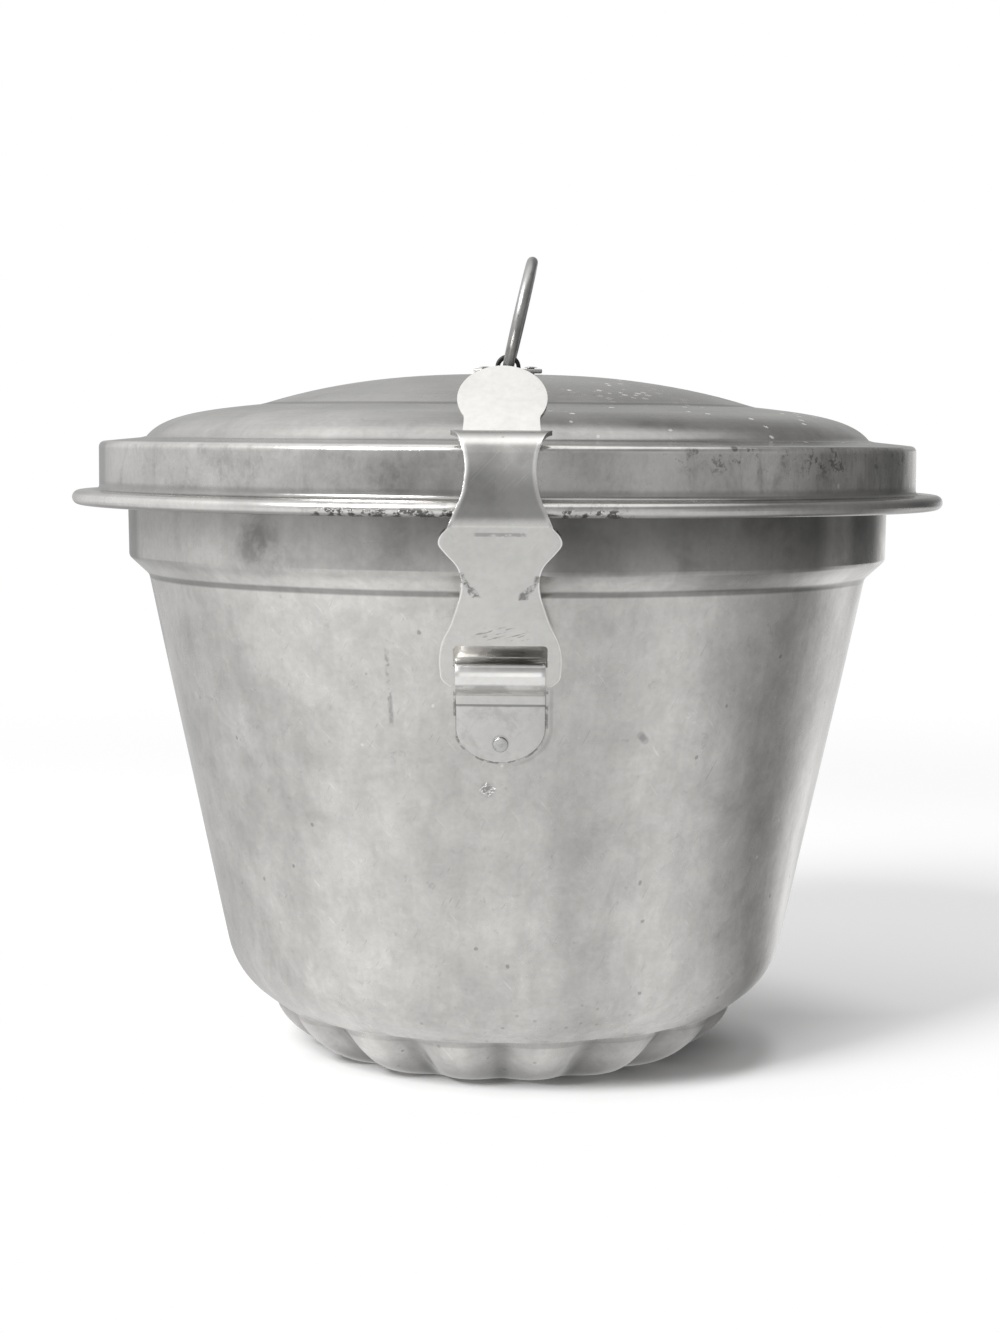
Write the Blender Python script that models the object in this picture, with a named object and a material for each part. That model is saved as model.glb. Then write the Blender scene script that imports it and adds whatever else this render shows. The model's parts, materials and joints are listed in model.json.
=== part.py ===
"""Steamed pudding mould: fluted basin with a centre tube, two-step lid with a ring, two hinged clips.

Metres, +Z up, the front clip at -Y. The origin is on the table, on the mould's axis.
"""

import math

import bmesh
import bpy
import numpy as np
from mathutils import Matrix, Vector

# Sheet thicknesses, and the gap left between pieces that touch
BASIN_SHEET = 0.0010
LID_SHEET = 0.0010
TUBE_SHEET = 0.0008
CLIP_SHEET = 0.0009
BRACKET_SHEET = 0.0009
SADDLE_SHEET = 0.0009
FIT = 0.0003

# Basin, outer surface
RIM_HEIGHT = 0.1325
RIM_BEAD_RADIUS = 0.0025
RIM_CURL_END = math.radians(-105)
NECK_RADIUS = 0.0832
NECK_TAPER = 0.0003
NECK_DEPTH = 0.0233
NECK_CORNER_ROUND = 0.0015
STEP_IN = 0.0043
STEP_DROP = 0.0040
STEP_ROUND = 0.0020
WALL_FOOT_RADIUS = 0.0600
WALL_FOOT = 0.0181
SHOULDER_ROUND = 0.0185
SHOULDER_IN = 0.0088
SHOULDER_DROP = 0.0067
LIP_ROUND = 0.0006
LIP_DROP = 0.0006

# Fluted crown and floor of the basin
LOBES = 16
LOBE_TOP_IN = 0.0004
LOBE_FULLNESS = 1.5
VALLEY_TOP_IN = 0.0026
VALLEY_FOOT_IN = 0.0015
VALLEY_FULLNESS = 1.1
REST_RING_OUTER = 0.0365
REST_RING_INNER = 0.0310
REST_RING_ROUND = 0.0030
HUB_RADIUS = 0.0240
HUB_RISE = 0.0042
HUB_ROUND = 0.0020

# Centre tube, outer surface
TUBE_BELOW_RIM = 0.0145
TUBE_TOP_RADIUS = 0.0115
TUBE_FOOT_RADIUS = 0.0155
TUBE_BEAD_RADIUS = 0.0015
TUBE_FLARE = 0.0021
TUBE_FLARE_DROP = 0.0006

# Lid, outer surface
BAND_GAP = 0.0010
BAND_CORNER_ROUND = 0.0015
SKIRT_DROP = 0.0103
FLANGE_FILLET = 0.0010
FLANGE_REACH = 0.0043
FLANGE_FALL = 0.0002
FLANGE_BEAD_RADIUS = 0.0015
FLANGE_CURL_TURN = math.radians(230)
LEDGE_WIDTH = 0.0102
LEDGE_RISE = 0.0009
DOME_FOOT_ROUND = 0.0012
STEP_RISE = 0.0076
STEP_RADIUS = 0.0544
STEP_FALL = 0.0013
STEP_SHOULDER = 0.0045
STEP_SHOULDER_IN = 0.0035
CREASE_WIDTH = 0.0012
CREASE_DEPTH = 0.0003
DOME_RISE = 0.0067
DOME_FULLNESS = 2.5

# Ring handle and its saddle on the lid
RING_RADIUS = 0.01175
RING_WIRE = 0.0025
RING_LEAN = math.radians(12.7)
SADDLE_WIDTH = 0.0055
SADDLE_FOOT = 0.0052
SADDLE_ROUND = 0.0006
SADDLE_TIP_ROUND = 0.0006
SADDLE_RIVET_OUT = 0.0027

# Clips, from the hinge bar up to the thumb disc
WINDOW_WIDTH = 0.0180
WINDOW_HEIGHT = 0.0050
WINDOW_CORNER = 0.0008
LUG_DROP = 0.0026
LUG_END_IN = 0.0019
CREASE_BELOW_FLANGE = 0.0032
CREASE_OUT = 0.0018
CREASE_ROUND = 0.0016
PAST_FLANGE_GAP = 0.0008
PAST_FLANGE_ANGLE = math.radians(27)
PAST_FLANGE_ROUND = 0.0200
PAST_BAND_ROUND = 0.0125
HOOK_RISE = 0.0031
HOOK_ROUND = 0.0020
HOOK_DIP = 0.0015
HOOK_IN = 0.0032
DIP_ROUND = 0.0014
DISC_STEM = 0.0010
DISC_RADIUS = 0.0086
DISC_NECK = 0.0072
DISC_NECK_SHARE = 0.40
DISC_TIP = 0.0009
DISC_SLOPE = math.radians(47)
# Half widths of the strap at shares of its lower part, from the bar to the crease
LOWER_OUTLINE = (
    (0.00, 0.0116),
    (0.11, 0.01175),
    (0.235, 0.0111),
    (0.35, 0.0095),
    (0.47, 0.0083),
    (0.59, 0.0074),
    (0.69, 0.0075),
    (0.76, 0.0083),
    (0.84, 0.0103),
    (0.90, 0.0115),
    (0.96, 0.0110),
)
# Half widths of the strap at shares of its upper part, from the crease to the hook's dip
UPPER_OUTLINE = (
    (0.00, 0.0098),
    (0.12, 0.0086),
    (0.24, 0.0074),
    (0.40, 0.0067),
    (0.53, 0.0067),
    (0.66, 0.0073),
    (0.79, 0.0085),
    (0.89, 0.0095),
    (1.00, 0.0074),
)

# Brackets on the wall
HINGE_HEIGHT = 0.0899
ROLL_BORE = 0.0025
ROLL_EXIT = math.radians(60)
LEAF_ROUND = 0.0012
LEAF_LENGTH = 0.0020
BRACKET_WIDTH = 0.0172
TONGUE_LENGTH = 0.0186
TONGUE_ROUND = 0.0068
TONGUE_TIP = 0.0014
TONGUE_FLAT = 0.0047
TONGUE_CURVED_FROM = 0.0093

# Rivets
RIVET_SHANK_RADIUS = 0.0008
RIVET_HEAD_RADIUS = 0.0015
RIVET_HEAD_RISE = 0.0005
CUTTER_LENGTH = 0.0080
BRACKET_RIVET_UP = 0.0036

# Facets
BASIN_STEPS_PER_LOBE = 4
CROWN_STEPS = 4
LID_SEGMENTS = 48
TUBE_SEGMENTS = 24
RING_SEGMENTS = 28
WIRE_SEGMENTS = 8
RIVET_SEGMENTS = 10
BEND_STEPS = 4
DISC_STEPS = 6
TONGUE_STEPS = 6
LEAST_STEP = 0.0006
INNER_COLUMN = 0.6
SAME_POINT = 1e-7
SHARP_ANGLE = math.radians(32)

# Sizes that follow from those above
rim_outer = NECK_RADIUS - BASIN_SHEET + 2 * RIM_BEAD_RADIUS
neck_foot = RIM_HEIGHT - NECK_DEPTH
crown_top_radius = WALL_FOOT_RADIUS - SHOULDER_IN
lip_height = WALL_FOOT - SHOULDER_DROP
band_radius = rim_outer + BAND_GAP + LID_SHEET
dome_foot_radius = band_radius - LEDGE_WIDTH
lid_ledge = RIM_HEIGHT + FIT + LID_SHEET
dome_foot = lid_ledge + LEDGE_RISE
crease_height = dome_foot + STEP_RISE
dome_top = crease_height + DOME_RISE
flange_bead_r = band_radius + FLANGE_REACH
flange_bead_z = lid_ledge - SKIRT_DROP - FLANGE_FALL - FLANGE_BEAD_RADIUS
flange_tip = flange_bead_r + FLANGE_BEAD_RADIUS
wall_top_radius = NECK_RADIUS - NECK_TAPER - STEP_IN
wall_top = neck_foot - STEP_DROP
wall_lean = math.atan2(wall_top_radius - WALL_FOOT_RADIUS, wall_top - WALL_FOOT)
floor_top = HUB_RISE + BASIN_SHEET
ring_pivot = dome_top + FIT + RING_WIRE / 2
pivot_off_wall = FIT + BRACKET_SHEET + ROLL_BORE


def wall_radius(height):
    """Outer radius of the basin's tapered wall at a height."""
    return wall_top_radius - (wall_top - height) * math.tan(wall_lean)


hinge_radius = wall_radius(HINGE_HEIGHT) + pivot_off_wall / math.cos(wall_lean)


def arc(centre, radius, start, end, steps):
    """Points along an arc, angles in radians from +X."""
    turn = (end - start) / steps
    return [
        (centre[0] + radius * math.cos(start + turn * i), centre[1] + radius * math.sin(start + turn * i))
        for i in range(steps + 1)
    ]


def quarter_turn(steps):
    """Angles from 0 to a right angle in even steps."""
    return [math.pi / 2 * i / steps for i in range(steps + 1)]


def rounded(corners):
    """A polyline through (x, y, round, steps) corners, each replaced by an arc of its round."""
    path = []
    for i, (x, y, fillet, steps) in enumerate(corners):
        here = Vector((x, y))
        if steps == 0:
            path.append((x, y))
            continue
        back = (Vector(corners[i - 1][:2]) - here).normalized()
        ahead = (Vector(corners[i + 1][:2]) - here).normalized()
        half = back.angle(ahead) / 2
        middle = here + (back + ahead).normalized() * fillet / math.sin(half)
        first = here + back * fillet / math.tan(half) - middle
        last = here + ahead * fillet / math.tan(half) - middle
        start = math.atan2(first.y, first.x)
        sweep = (math.atan2(last.y, last.x) - start + math.pi) % (2 * math.pi) - math.pi
        path.extend(arc(middle, fillet, start, start + sweep, steps))
    return path


def bezier(a, b, c, d, steps):
    """Points along a cubic curve, without its first one."""
    points = []
    for i in range(1, steps + 1):
        t = i / steps
        s = 1 - t
        points.append(
            tuple(
                s**3 * a[k] + 3 * s * s * t * b[k] + 3 * s * t * t * c[k] + t**3 * d[k]
                for k in range(2)
            )
        )
    return points


def to_the_right(path, distance):
    """The path moved sideways, to the right of its direction of travel."""
    points = [Vector(p) for p in path]
    moved = []
    for i, point in enumerate(points):
        normals = []
        for a, b in ((i - 1, i), (i, i + 1)):
            if a >= 0 and b < len(points):
                along = (points[b] - points[a]).normalized()
                normals.append(Vector((along.y, -along.x)))
        normal = sum(normals, Vector((0, 0))).normalized()
        moved.append(tuple(point + normal * distance / normal.dot(normals[0])))
    return moved


def sheet_section(path, thickness):
    """Closed outline of a bent sheet whose one face follows the path."""
    return path + to_the_right(path, thickness)[::-1]


def new_material(name, colour, roughness, metallic=1.0):
    """A Principled material."""
    material = bpy.data.materials.new(name)
    material.use_nodes = True
    shader = material.node_tree.nodes["Principled BSDF"]
    shader.inputs["Base Color"].default_value = (*colour, 1)
    shader.inputs["Roughness"].default_value = roughness
    shader.inputs["Metallic"].default_value = metallic
    return material


def new_object(name, mesh, material, location=(0, 0, 0), turn=0.0):
    """An object of the mesh, turned about +Z, with its own material."""
    obj = bpy.data.objects.new(name, mesh)
    bpy.context.scene.collection.objects.link(obj)
    obj.location = location
    obj.rotation_euler = (0, 0, turn)
    if material and not mesh.materials:
        mesh.materials.append(material)
    return obj


def mesh_from(name, points, faces):
    """A closed mesh with its faces pointing out and its round stretches smooth."""
    mesh = bpy.data.meshes.new(name)
    mesh.from_pydata([tuple(p) for p in points], [], faces)
    work = bmesh.new()
    work.from_mesh(mesh)
    bmesh.ops.remove_doubles(work, verts=work.verts, dist=SAME_POINT)
    bmesh.ops.recalc_face_normals(work, faces=work.faces)
    work.to_mesh(mesh)
    work.free()
    mesh.shade_smooth()
    mesh.set_sharp_from_angle(angle=SHARP_ANGLE)
    return mesh


def revolved(name, section, segments, section_at=None):
    """A turned solid. A section that starts and ends on the axis is closed by its two poles."""
    rings = []
    points = []
    faces = []
    poles = section[0][0] == 0
    outline = section[1:-1] if poles else section
    for step in range(segments):
        angle = 2 * math.pi * step / segments - math.pi / 2
        here = section_at(step) if section_at else outline
        rings.append(range(len(points), len(points) + len(here)))
        points.extend((r * math.cos(angle), r * math.sin(angle), z) for r, z in here)
    count = len(outline)
    for step in range(segments):
        now, after = rings[step], rings[(step + 1) % segments]
        for i in range(count - 1 if poles else count):
            j = (i + 1) % count
            faces.append((now[i], after[i], after[j], now[j]))
    if poles:
        for end, row in ((section[0], 0), (section[-1], count - 1)):
            points.append((0, 0, end[1]))
            for step in range(segments):
                faces.append((len(points) - 1, rings[step][row], rings[(step + 1) % segments][row]))
    return mesh_from(name, points, faces)


def plate(name, front, back, present):
    """A bent plate from two grids of points, with a hole or an edge wherever a cell is missing."""
    rows, columns = len(front), len(front[0])
    points = [p for row in front for p in row] + [p for row in back for p in row]
    base = rows * columns
    faces = []

    def cell(i, j):
        return 0 <= i < rows - 1 and 0 <= j < columns - 1 and present(i, j)

    for i in range(rows - 1):
        for j in range(columns - 1):
            if not cell(i, j):
                continue
            ring = [i * columns + j, i * columns + j + 1, (i + 1) * columns + j + 1, (i + 1) * columns + j]
            faces.append(tuple(ring))
            faces.append(tuple(base + k for k in reversed(ring)))
            beside = ((i - 1, j), (i, j + 1), (i + 1, j), (i, j - 1))
            for side, (a, b) in enumerate(beside):
                if not cell(a, b):
                    p, q = ring[side], ring[(side + 1) % 4]
                    faces.append((q, p, base + p, base + q))
    used = sorted({k for face in faces for k in face})
    renumber = {k: n for n, k in enumerate(used)}
    return mesh_from(name, [points[k] for k in used], [tuple(renumber[k] for k in f) for f in faces])


def cut(obj, cutters):
    """Cuts the helpers out of the object."""
    for cutter in cutters:
        cutter.hide_render = True
        cutter.display_type = "WIRE"
        hole = obj.modifiers.new(cutter.name, "BOOLEAN")
        hole.operation = "DIFFERENCE"
        hole.solver = "EXACT"
        hole.object = cutter


def set_along(obj, place, axis):
    """Moves an object to a place and turns its +Z along an axis."""
    obj.matrix_world = Matrix.Translation(place) @ Vector(axis).to_track_quat("Z", "Y").to_matrix().to_4x4()
    return obj


def drill(name, place, axis):
    """A cylinder that cuts a rivet hole, centred on its place."""
    radius = RIVET_SHANK_RADIUS + FIT
    half = CUTTER_LENGTH / 2
    section = [(0, half), (radius, half), (radius, -half), (0, -half)]
    return set_along(new_object(name, revolved(name, section, RIVET_SEGMENTS), None), place, axis)


def rivet(name, place, axis, grip, material):
    """A rivet, domed head on top and flat tail below, through a grip of sheet whose top is its place."""
    top = FIT
    bottom = -grip - FIT
    head = RIVET_HEAD_RISE
    ball = (RIVET_HEAD_RADIUS**2 + head**2) / (2 * head)
    spread = math.asin(RIVET_HEAD_RADIUS / ball)
    dome = arc((0, top + head - ball), ball, math.pi / 2, math.pi / 2 - spread, 3)
    section = [(0, top + head)] + dome[1:] + [
        (RIVET_SHANK_RADIUS, top),
        (RIVET_SHANK_RADIUS, bottom),
        (RIVET_HEAD_RADIUS, bottom),
        (RIVET_HEAD_RADIUS - head / 2, bottom - head),
        (0, bottom - head),
    ]
    return set_along(new_object(name, revolved(name, section, RIVET_SEGMENTS), material), place, axis)


def crown_curve(top_in, foot_in, fullness):
    """Bulging outer face of the crown, from under the wall's lip to the ring that it rests on."""
    foot = REST_RING_OUTER - foot_in
    reach = crown_top_radius - top_in - foot
    height = lip_height - LIP_DROP
    points = []
    for turn in quarter_turn(CROWN_STEPS):
        out, down = math.cos(turn) ** (2 / fullness), math.sin(turn) ** (2 / fullness)
        points.append((foot + reach * out, height * (1 - down), 0, 0))
    return points


def basin_path(top_in, foot_in, fullness):
    """Outer face of the basin, from the end of the rim's curl down to the hole in the floor."""
    curl = RIM_BEAD_RADIUS - BASIN_SHEET
    bead = (NECK_RADIUS + curl, RIM_HEIGHT - RIM_BEAD_RADIUS)
    corners = [
        (NECK_RADIUS, bead[1], 0, 0),
        (NECK_RADIUS - NECK_TAPER, neck_foot, NECK_CORNER_ROUND, 2),
        (wall_top_radius, wall_top, STEP_ROUND, 2),
        (WALL_FOOT_RADIUS, WALL_FOOT, SHOULDER_ROUND, 4),
        (crown_top_radius, lip_height, LIP_ROUND, 1),
        *crown_curve(top_in, foot_in, fullness),
        (REST_RING_INNER, 0, REST_RING_ROUND, 1),
        (HUB_RADIUS, HUB_RISE, HUB_ROUND, 1),
        (TUBE_FOOT_RADIUS + FIT, HUB_RISE, 0, 0),
    ]
    return arc(bead, curl, RIM_CURL_END, math.pi, 6)[:-1] + rounded(corners)


def make_basin(material):
    """Basin shell, whose section eases from broad lobe to narrow valley and back round the crown."""
    lobe = sheet_section(basin_path(LOBE_TOP_IN, 0, LOBE_FULLNESS), BASIN_SHEET)
    valley = sheet_section(basin_path(VALLEY_TOP_IN, VALLEY_FOOT_IN, VALLEY_FULLNESS), BASIN_SHEET)

    def section_at(step):
        off_centre = abs((step % BASIN_STEPS_PER_LOBE) / BASIN_STEPS_PER_LOBE * 2 - 1)
        share = off_centre**3 * (4 - 3 * off_centre)
        return [
            (a[0] + (b[0] - a[0]) * share, a[1] + (b[1] - a[1]) * share) for a, b in zip(lobe, valley)
        ]

    mesh = revolved("basin", lobe, LOBES * BASIN_STEPS_PER_LOBE, section_at)
    return new_object("basin", mesh, material)


def make_tube(material):
    """Centre tube, held in the floor between a bead above it and a flare below it."""
    bead_z = floor_top + FIT + TUBE_BEAD_RADIUS
    below = HUB_RISE - FIT
    path = [(TUBE_TOP_RADIUS, RIM_HEIGHT - TUBE_BELOW_RIM)]
    path += arc((TUBE_FOOT_RADIUS, bead_z), TUBE_BEAD_RADIUS, math.pi / 2, -math.pi / 2, 4)
    path += [(TUBE_FOOT_RADIUS, below), (TUBE_FOOT_RADIUS + TUBE_FLARE, below - TUBE_FLARE_DROP)]
    mesh = revolved("centre_tube", sheet_section(path, TUBE_SHEET), TUBE_SEGMENTS)
    return new_object("centre_tube", mesh, material)


def lid_path():
    """Outer face of the lid, from the axis out over the two steps and down to the rolled flange."""
    inner = STEP_RADIUS - CREASE_WIDTH
    path = [(0, dome_top)]
    for share in (0.22, 0.45, 0.65, 0.82, 1.0):
        path.append((inner * share, crease_height + DOME_RISE * (1 - share**DOME_FULLNESS)))
    start = (STEP_RADIUS, crease_height - CREASE_DEPTH)
    foot = (dome_foot_radius, dome_foot + CREASE_DEPTH)
    half_way = ((STEP_RADIUS + dome_foot_radius) / 2, start[1] - STEP_FALL)
    shoulder = (dome_foot_radius - STEP_SHOULDER_IN, foot[1] + STEP_SHOULDER)
    path += [start] + bezier(start, half_way, shoulder, foot, 5)
    slope = math.atan2(FLANGE_FALL, FLANGE_REACH)
    bead = (flange_bead_r, flange_bead_z)
    tip = arc(bead, FLANGE_BEAD_RADIUS, math.pi / 2 - slope, math.pi / 2 - slope - FLANGE_CURL_TURN, 6)
    band_foot = tip[0][1] + (tip[0][0] - band_radius) * math.tan(slope)
    corners = [
        (dome_foot_radius + DOME_FOOT_ROUND, dome_foot, 0, 0),
        (band_radius, lid_ledge, BAND_CORNER_ROUND, 2),
        (band_radius, band_foot, FLANGE_FILLET, 1),
        (*tip[0], 0, 0),
    ]
    return path + rounded(corners) + tip[1:]


def make_lid(material):
    """Lid shell with its two rivet holes."""
    section = sheet_section(lid_path(), LID_SHEET)
    section[-1] = (0, section[-1][1])
    lid = new_object("lid", revolved("lid", section, LID_SEGMENTS), material)
    places = [(side * saddle_rivet_x, 0, dome_top) for side in (-1, 1)]
    cut(lid, [drill(f"lid_hole_{k}", place, (0, 0, 1)) for k, place in enumerate(places)])
    return lid


saddle_bore = RING_WIRE / 2 + 2 * FIT
saddle_leg = saddle_bore + SADDLE_SHEET / 2
saddle_foot_z = dome_top + FIT + SADDLE_SHEET / 2
saddle_rivet_x = saddle_leg + SADDLE_RIVET_OUT


def strip(name, path, half_widths, thickness, columns=(-1, 1), present=None, bend=None):
    """A strip of sheet along an (out, up) centre line. Columns are shares of the half width."""
    front_path = to_the_right(path, -thickness / 2)
    back_path = to_the_right(path, thickness / 2)
    grids = []
    for line in (front_path, back_path):
        grid = []
        for i, (out, up) in enumerate(line):
            row = []
            for j, share in enumerate(columns):
                x = share(i, half_widths[i]) if callable(share) else share * half_widths[i]
                row.append(bend(x, out, up) if bend else (x, -out, up))
            grid.append(row)
        grids.append(grid)
    return plate(name, grids[0], grids[1], present or (lambda i, j: True))


def make_saddle(material):
    """Saddle strap over the ring's wire, with a foot to each side and a hole in each foot."""
    end = saddle_leg + SADDLE_FOOT
    over = arc((0, ring_pivot), saddle_leg, math.pi, 0, 8)
    left = rounded([
        (-end, saddle_foot_z, 0, 0),
        (-end + SADDLE_TIP_ROUND, saddle_foot_z, 0, 0),
        (-saddle_leg, saddle_foot_z, SADDLE_ROUND, 2),
        (*over[0], 0, 0),
    ])
    path = left + over[1:-1] + [(-x, z) for x, z in reversed(left)]
    half = SADDLE_WIDTH / 2
    half_widths = [half - SADDLE_TIP_ROUND] + [half] * (len(path) - 2) + [half - SADDLE_TIP_ROUND]

    def across(x, out, up):
        return (out, x, up)

    mesh = strip("ring_saddle", path, half_widths, SADDLE_SHEET, bend=across)
    saddle = new_object("ring_saddle", mesh, material)
    holes = [(side * saddle_rivet_x, 0, saddle_foot_z) for side in (-1, 1)]
    cut(saddle, [drill(f"saddle_hole_{i}", place, (0, 0, 1)) for i, place in enumerate(holes)])
    return saddle


def make_ring(material):
    """Ring handle, built about its hinge axis, which runs along Y through the wire under the saddle."""
    points = []
    faces = []
    for i in range(RING_SEGMENTS):
        around = 2 * math.pi * i / RING_SEGMENTS
        for j in range(WIRE_SEGMENTS):
            turn = 2 * math.pi * j / WIRE_SEGMENTS
            reach = RING_RADIUS + RING_WIRE / 2 * math.cos(turn)
            points.append((
                RING_WIRE / 2 * math.sin(turn),
                reach * math.sin(around),
                RING_RADIUS - reach * math.cos(around),
            ))
            k = (i + 1) % RING_SEGMENTS
            m = (j + 1) % WIRE_SEGMENTS
            faces.append((i * WIRE_SEGMENTS + j, k * WIRE_SEGMENTS + j,
                          k * WIRE_SEGMENTS + m, i * WIRE_SEGMENTS + m))
    ring = new_object("ring_handle", mesh_from("ring_handle", points, faces), material, (0, 0, ring_pivot))
    ring.rotation_euler = (0, RING_LEAN, 0)
    return ring


def lengths_of(path):
    """Distance of each point of a path from its start."""
    return [0.0, *np.cumsum([math.dist(a, b) for a, b in zip(path, path[1:])]).tolist()]


def points_at(path, lengths):
    """Points of a path at given distances from its start."""
    marks = lengths_of(path)
    xs = np.interp(lengths, marks, [p[0] for p in path])
    ys = np.interp(lengths, marks, [p[1] for p in path])
    return list(zip(xs.tolist(), ys.tolist()))


def spaced(needed, extra, least):
    """The needed values with each extra one that lies far enough from those kept, in order."""
    kept = list(needed)
    for value in extra:
        if min(abs(value - k) for k in kept) > least:
            kept.append(value)
    return sorted(kept)


def smooth_width(outline, share):
    """Half width at a share of the strap, eased between the outline's points."""
    shares = [s for s, _ in outline]
    k = max(0, min(len(outline) - 2, int(np.searchsorted(shares, share, side="right")) - 1))
    a, b = outline[k], outline[k + 1]
    before = outline[max(k - 1, 0)]
    after = outline[min(k + 2, len(outline) - 1)]
    t = min(max((share - a[0]) / (b[0] - a[0]), 0), 1)
    slope_a = (b[1] - before[1]) / (b[0] - before[0]) * (b[0] - a[0])
    slope_b = (after[1] - a[1]) / (after[0] - a[0]) * (b[0] - a[0])
    return (
        (2 * t**3 - 3 * t**2 + 1) * a[1] + (t**3 - 2 * t**2 + t) * slope_a
        + (3 * t**2 - 2 * t**3) * b[1] + (t**3 - t**2) * slope_b
    )


def clip_mesh():
    """Clip strap about its hinge bar: lugs, window, waisted strap, crease, hook and thumb disc."""
    half_sheet = CLIP_SHEET / 2
    bar = math.sqrt((ROLL_BORE - FIT) ** 2 - half_sheet**2)
    crease = (flange_tip + CREASE_OUT, flange_bead_z - CREASE_BELOW_FLANGE)
    crease = (crease[0] - hinge_radius, crease[1] - HINGE_HEIGHT)
    lower = math.hypot(*crease)
    toward = (crease[0] / lower, crease[1] / lower)
    band_out = band_radius - hinge_radius
    ledge_up = lid_ledge - HINGE_HEIGHT
    clear = FIT + half_sheet
    bead_out = flange_bead_r - hinge_radius
    bead_up = flange_bead_z - HINGE_HEIGHT
    beside = FLANGE_BEAD_RADIUS + PAST_FLANGE_GAP + half_sheet
    past_flange = (
        bead_out + beside * math.cos(PAST_FLANGE_ANGLE),
        bead_up + beside * math.sin(PAST_FLANGE_ANGLE),
    )
    hook_top = ledge_up + HOOK_RISE
    dip = (band_out - HOOK_IN, hook_top - HOOK_DIP)
    disc_far = DISC_STEM + 2 * DISC_RADIUS
    disc_end = (dip[0] - disc_far * math.cos(DISC_SLOPE), dip[1] + disc_far * math.sin(DISC_SLOPE))

    corners = [
        (-toward[0] * LUG_DROP, -toward[1] * LUG_DROP, 0, 0),
        (*crease, CREASE_ROUND, BEND_STEPS),
        (*past_flange, PAST_FLANGE_ROUND, BEND_STEPS),
        (band_out + clear + 2 * FIT, ledge_up - BAND_CORNER_ROUND, PAST_BAND_ROUND, BEND_STEPS),
        (band_out + clear - FIT, hook_top, HOOK_ROUND, BEND_STEPS),
        (*dip, DIP_ROUND, BEND_STEPS),
        (*disc_end, 0, 0),
    ]
    centre = rounded(corners)
    marks = lengths_of(centre)
    crease_at = marks[1 + BEND_STEPS // 2]
    dip_at = marks[-2 - BEND_STEPS // 2]
    disc_middle = marks[-1] - DISC_RADIUS
    window_low = LUG_DROP + bar
    window_high = window_low + WINDOW_HEIGHT
    needed = [0, LUG_DROP - bar, window_low, *marks[1:-1]]
    needed += [window_high - share * WINDOW_CORNER for share in (0, 0.3, 1)]
    needed += [disc_middle + DISC_RADIUS * math.sin(turn) for turn in quarter_turn(DISC_STEPS)]
    extra = [LUG_DROP + share * lower for share, _ in LOWER_OUTLINE]
    extra += [crease_at + share * (dip_at - crease_at) for share, _ in UPPER_OUTLINE]
    extra += [dip_at + share * (disc_middle - dip_at) for share in (0.2, 0.4, 0.6, 0.8)]
    stations = spaced(needed, extra, LEAST_STEP)
    path = points_at(centre, stations)

    def half_width(s):
        if s < LUG_DROP:
            return LOWER_OUTLINE[0][1] - LUG_END_IN * (1 - s / LUG_DROP) ** 2
        if s <= crease_at:
            shares = LOWER_OUTLINE + ((1.0, UPPER_OUTLINE[0][1]),)
            return smooth_width(shares, (s - LUG_DROP) / lower)
        if s <= dip_at:
            return smooth_width(UPPER_OUTLINE, (s - crease_at) / (dip_at - crease_at))
        reach = (s - disc_middle) / DISC_RADIUS
        round_part = max(DISC_RADIUS * math.sqrt(max(1 - reach**2, 0)), DISC_TIP)
        if reach >= 0:
            return round_part
        share = min((s - dip_at) / (disc_middle - dip_at) / DISC_NECK_SHARE, 1)
        eased = share * share * (3 - 2 * share)
        return (1 - eased) * UPPER_OUTLINE[-1][1] + eased * max(round_part, DISC_NECK)

    half_widths = [half_width(s) for s in stations]
    hole = WINDOW_WIDTH / 2

    def inner(side):
        def place(i, half):
            s = stations[i]
            if s <= window_high + SAME_POINT:
                corner = min(1.0, max(0.0, s - window_high + WINDOW_CORNER) / WINDOW_CORNER)
                return side * (hole - WINDOW_CORNER * (1 - math.sqrt(1 - corner**2)))
            return side * min(hole - WINDOW_CORNER, half * INNER_COLUMN)
        return place

    def present(i, j):
        middle = (stations[i] + stations[i + 1]) / 2
        in_lugs = middle < LUG_DROP - bar
        in_window = window_low < middle < window_high
        return j != 1 or not (in_lugs or in_window)

    return strip("clip", path, half_widths, CLIP_SHEET, (-1, inner(-1), inner(1), 1), present)


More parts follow.
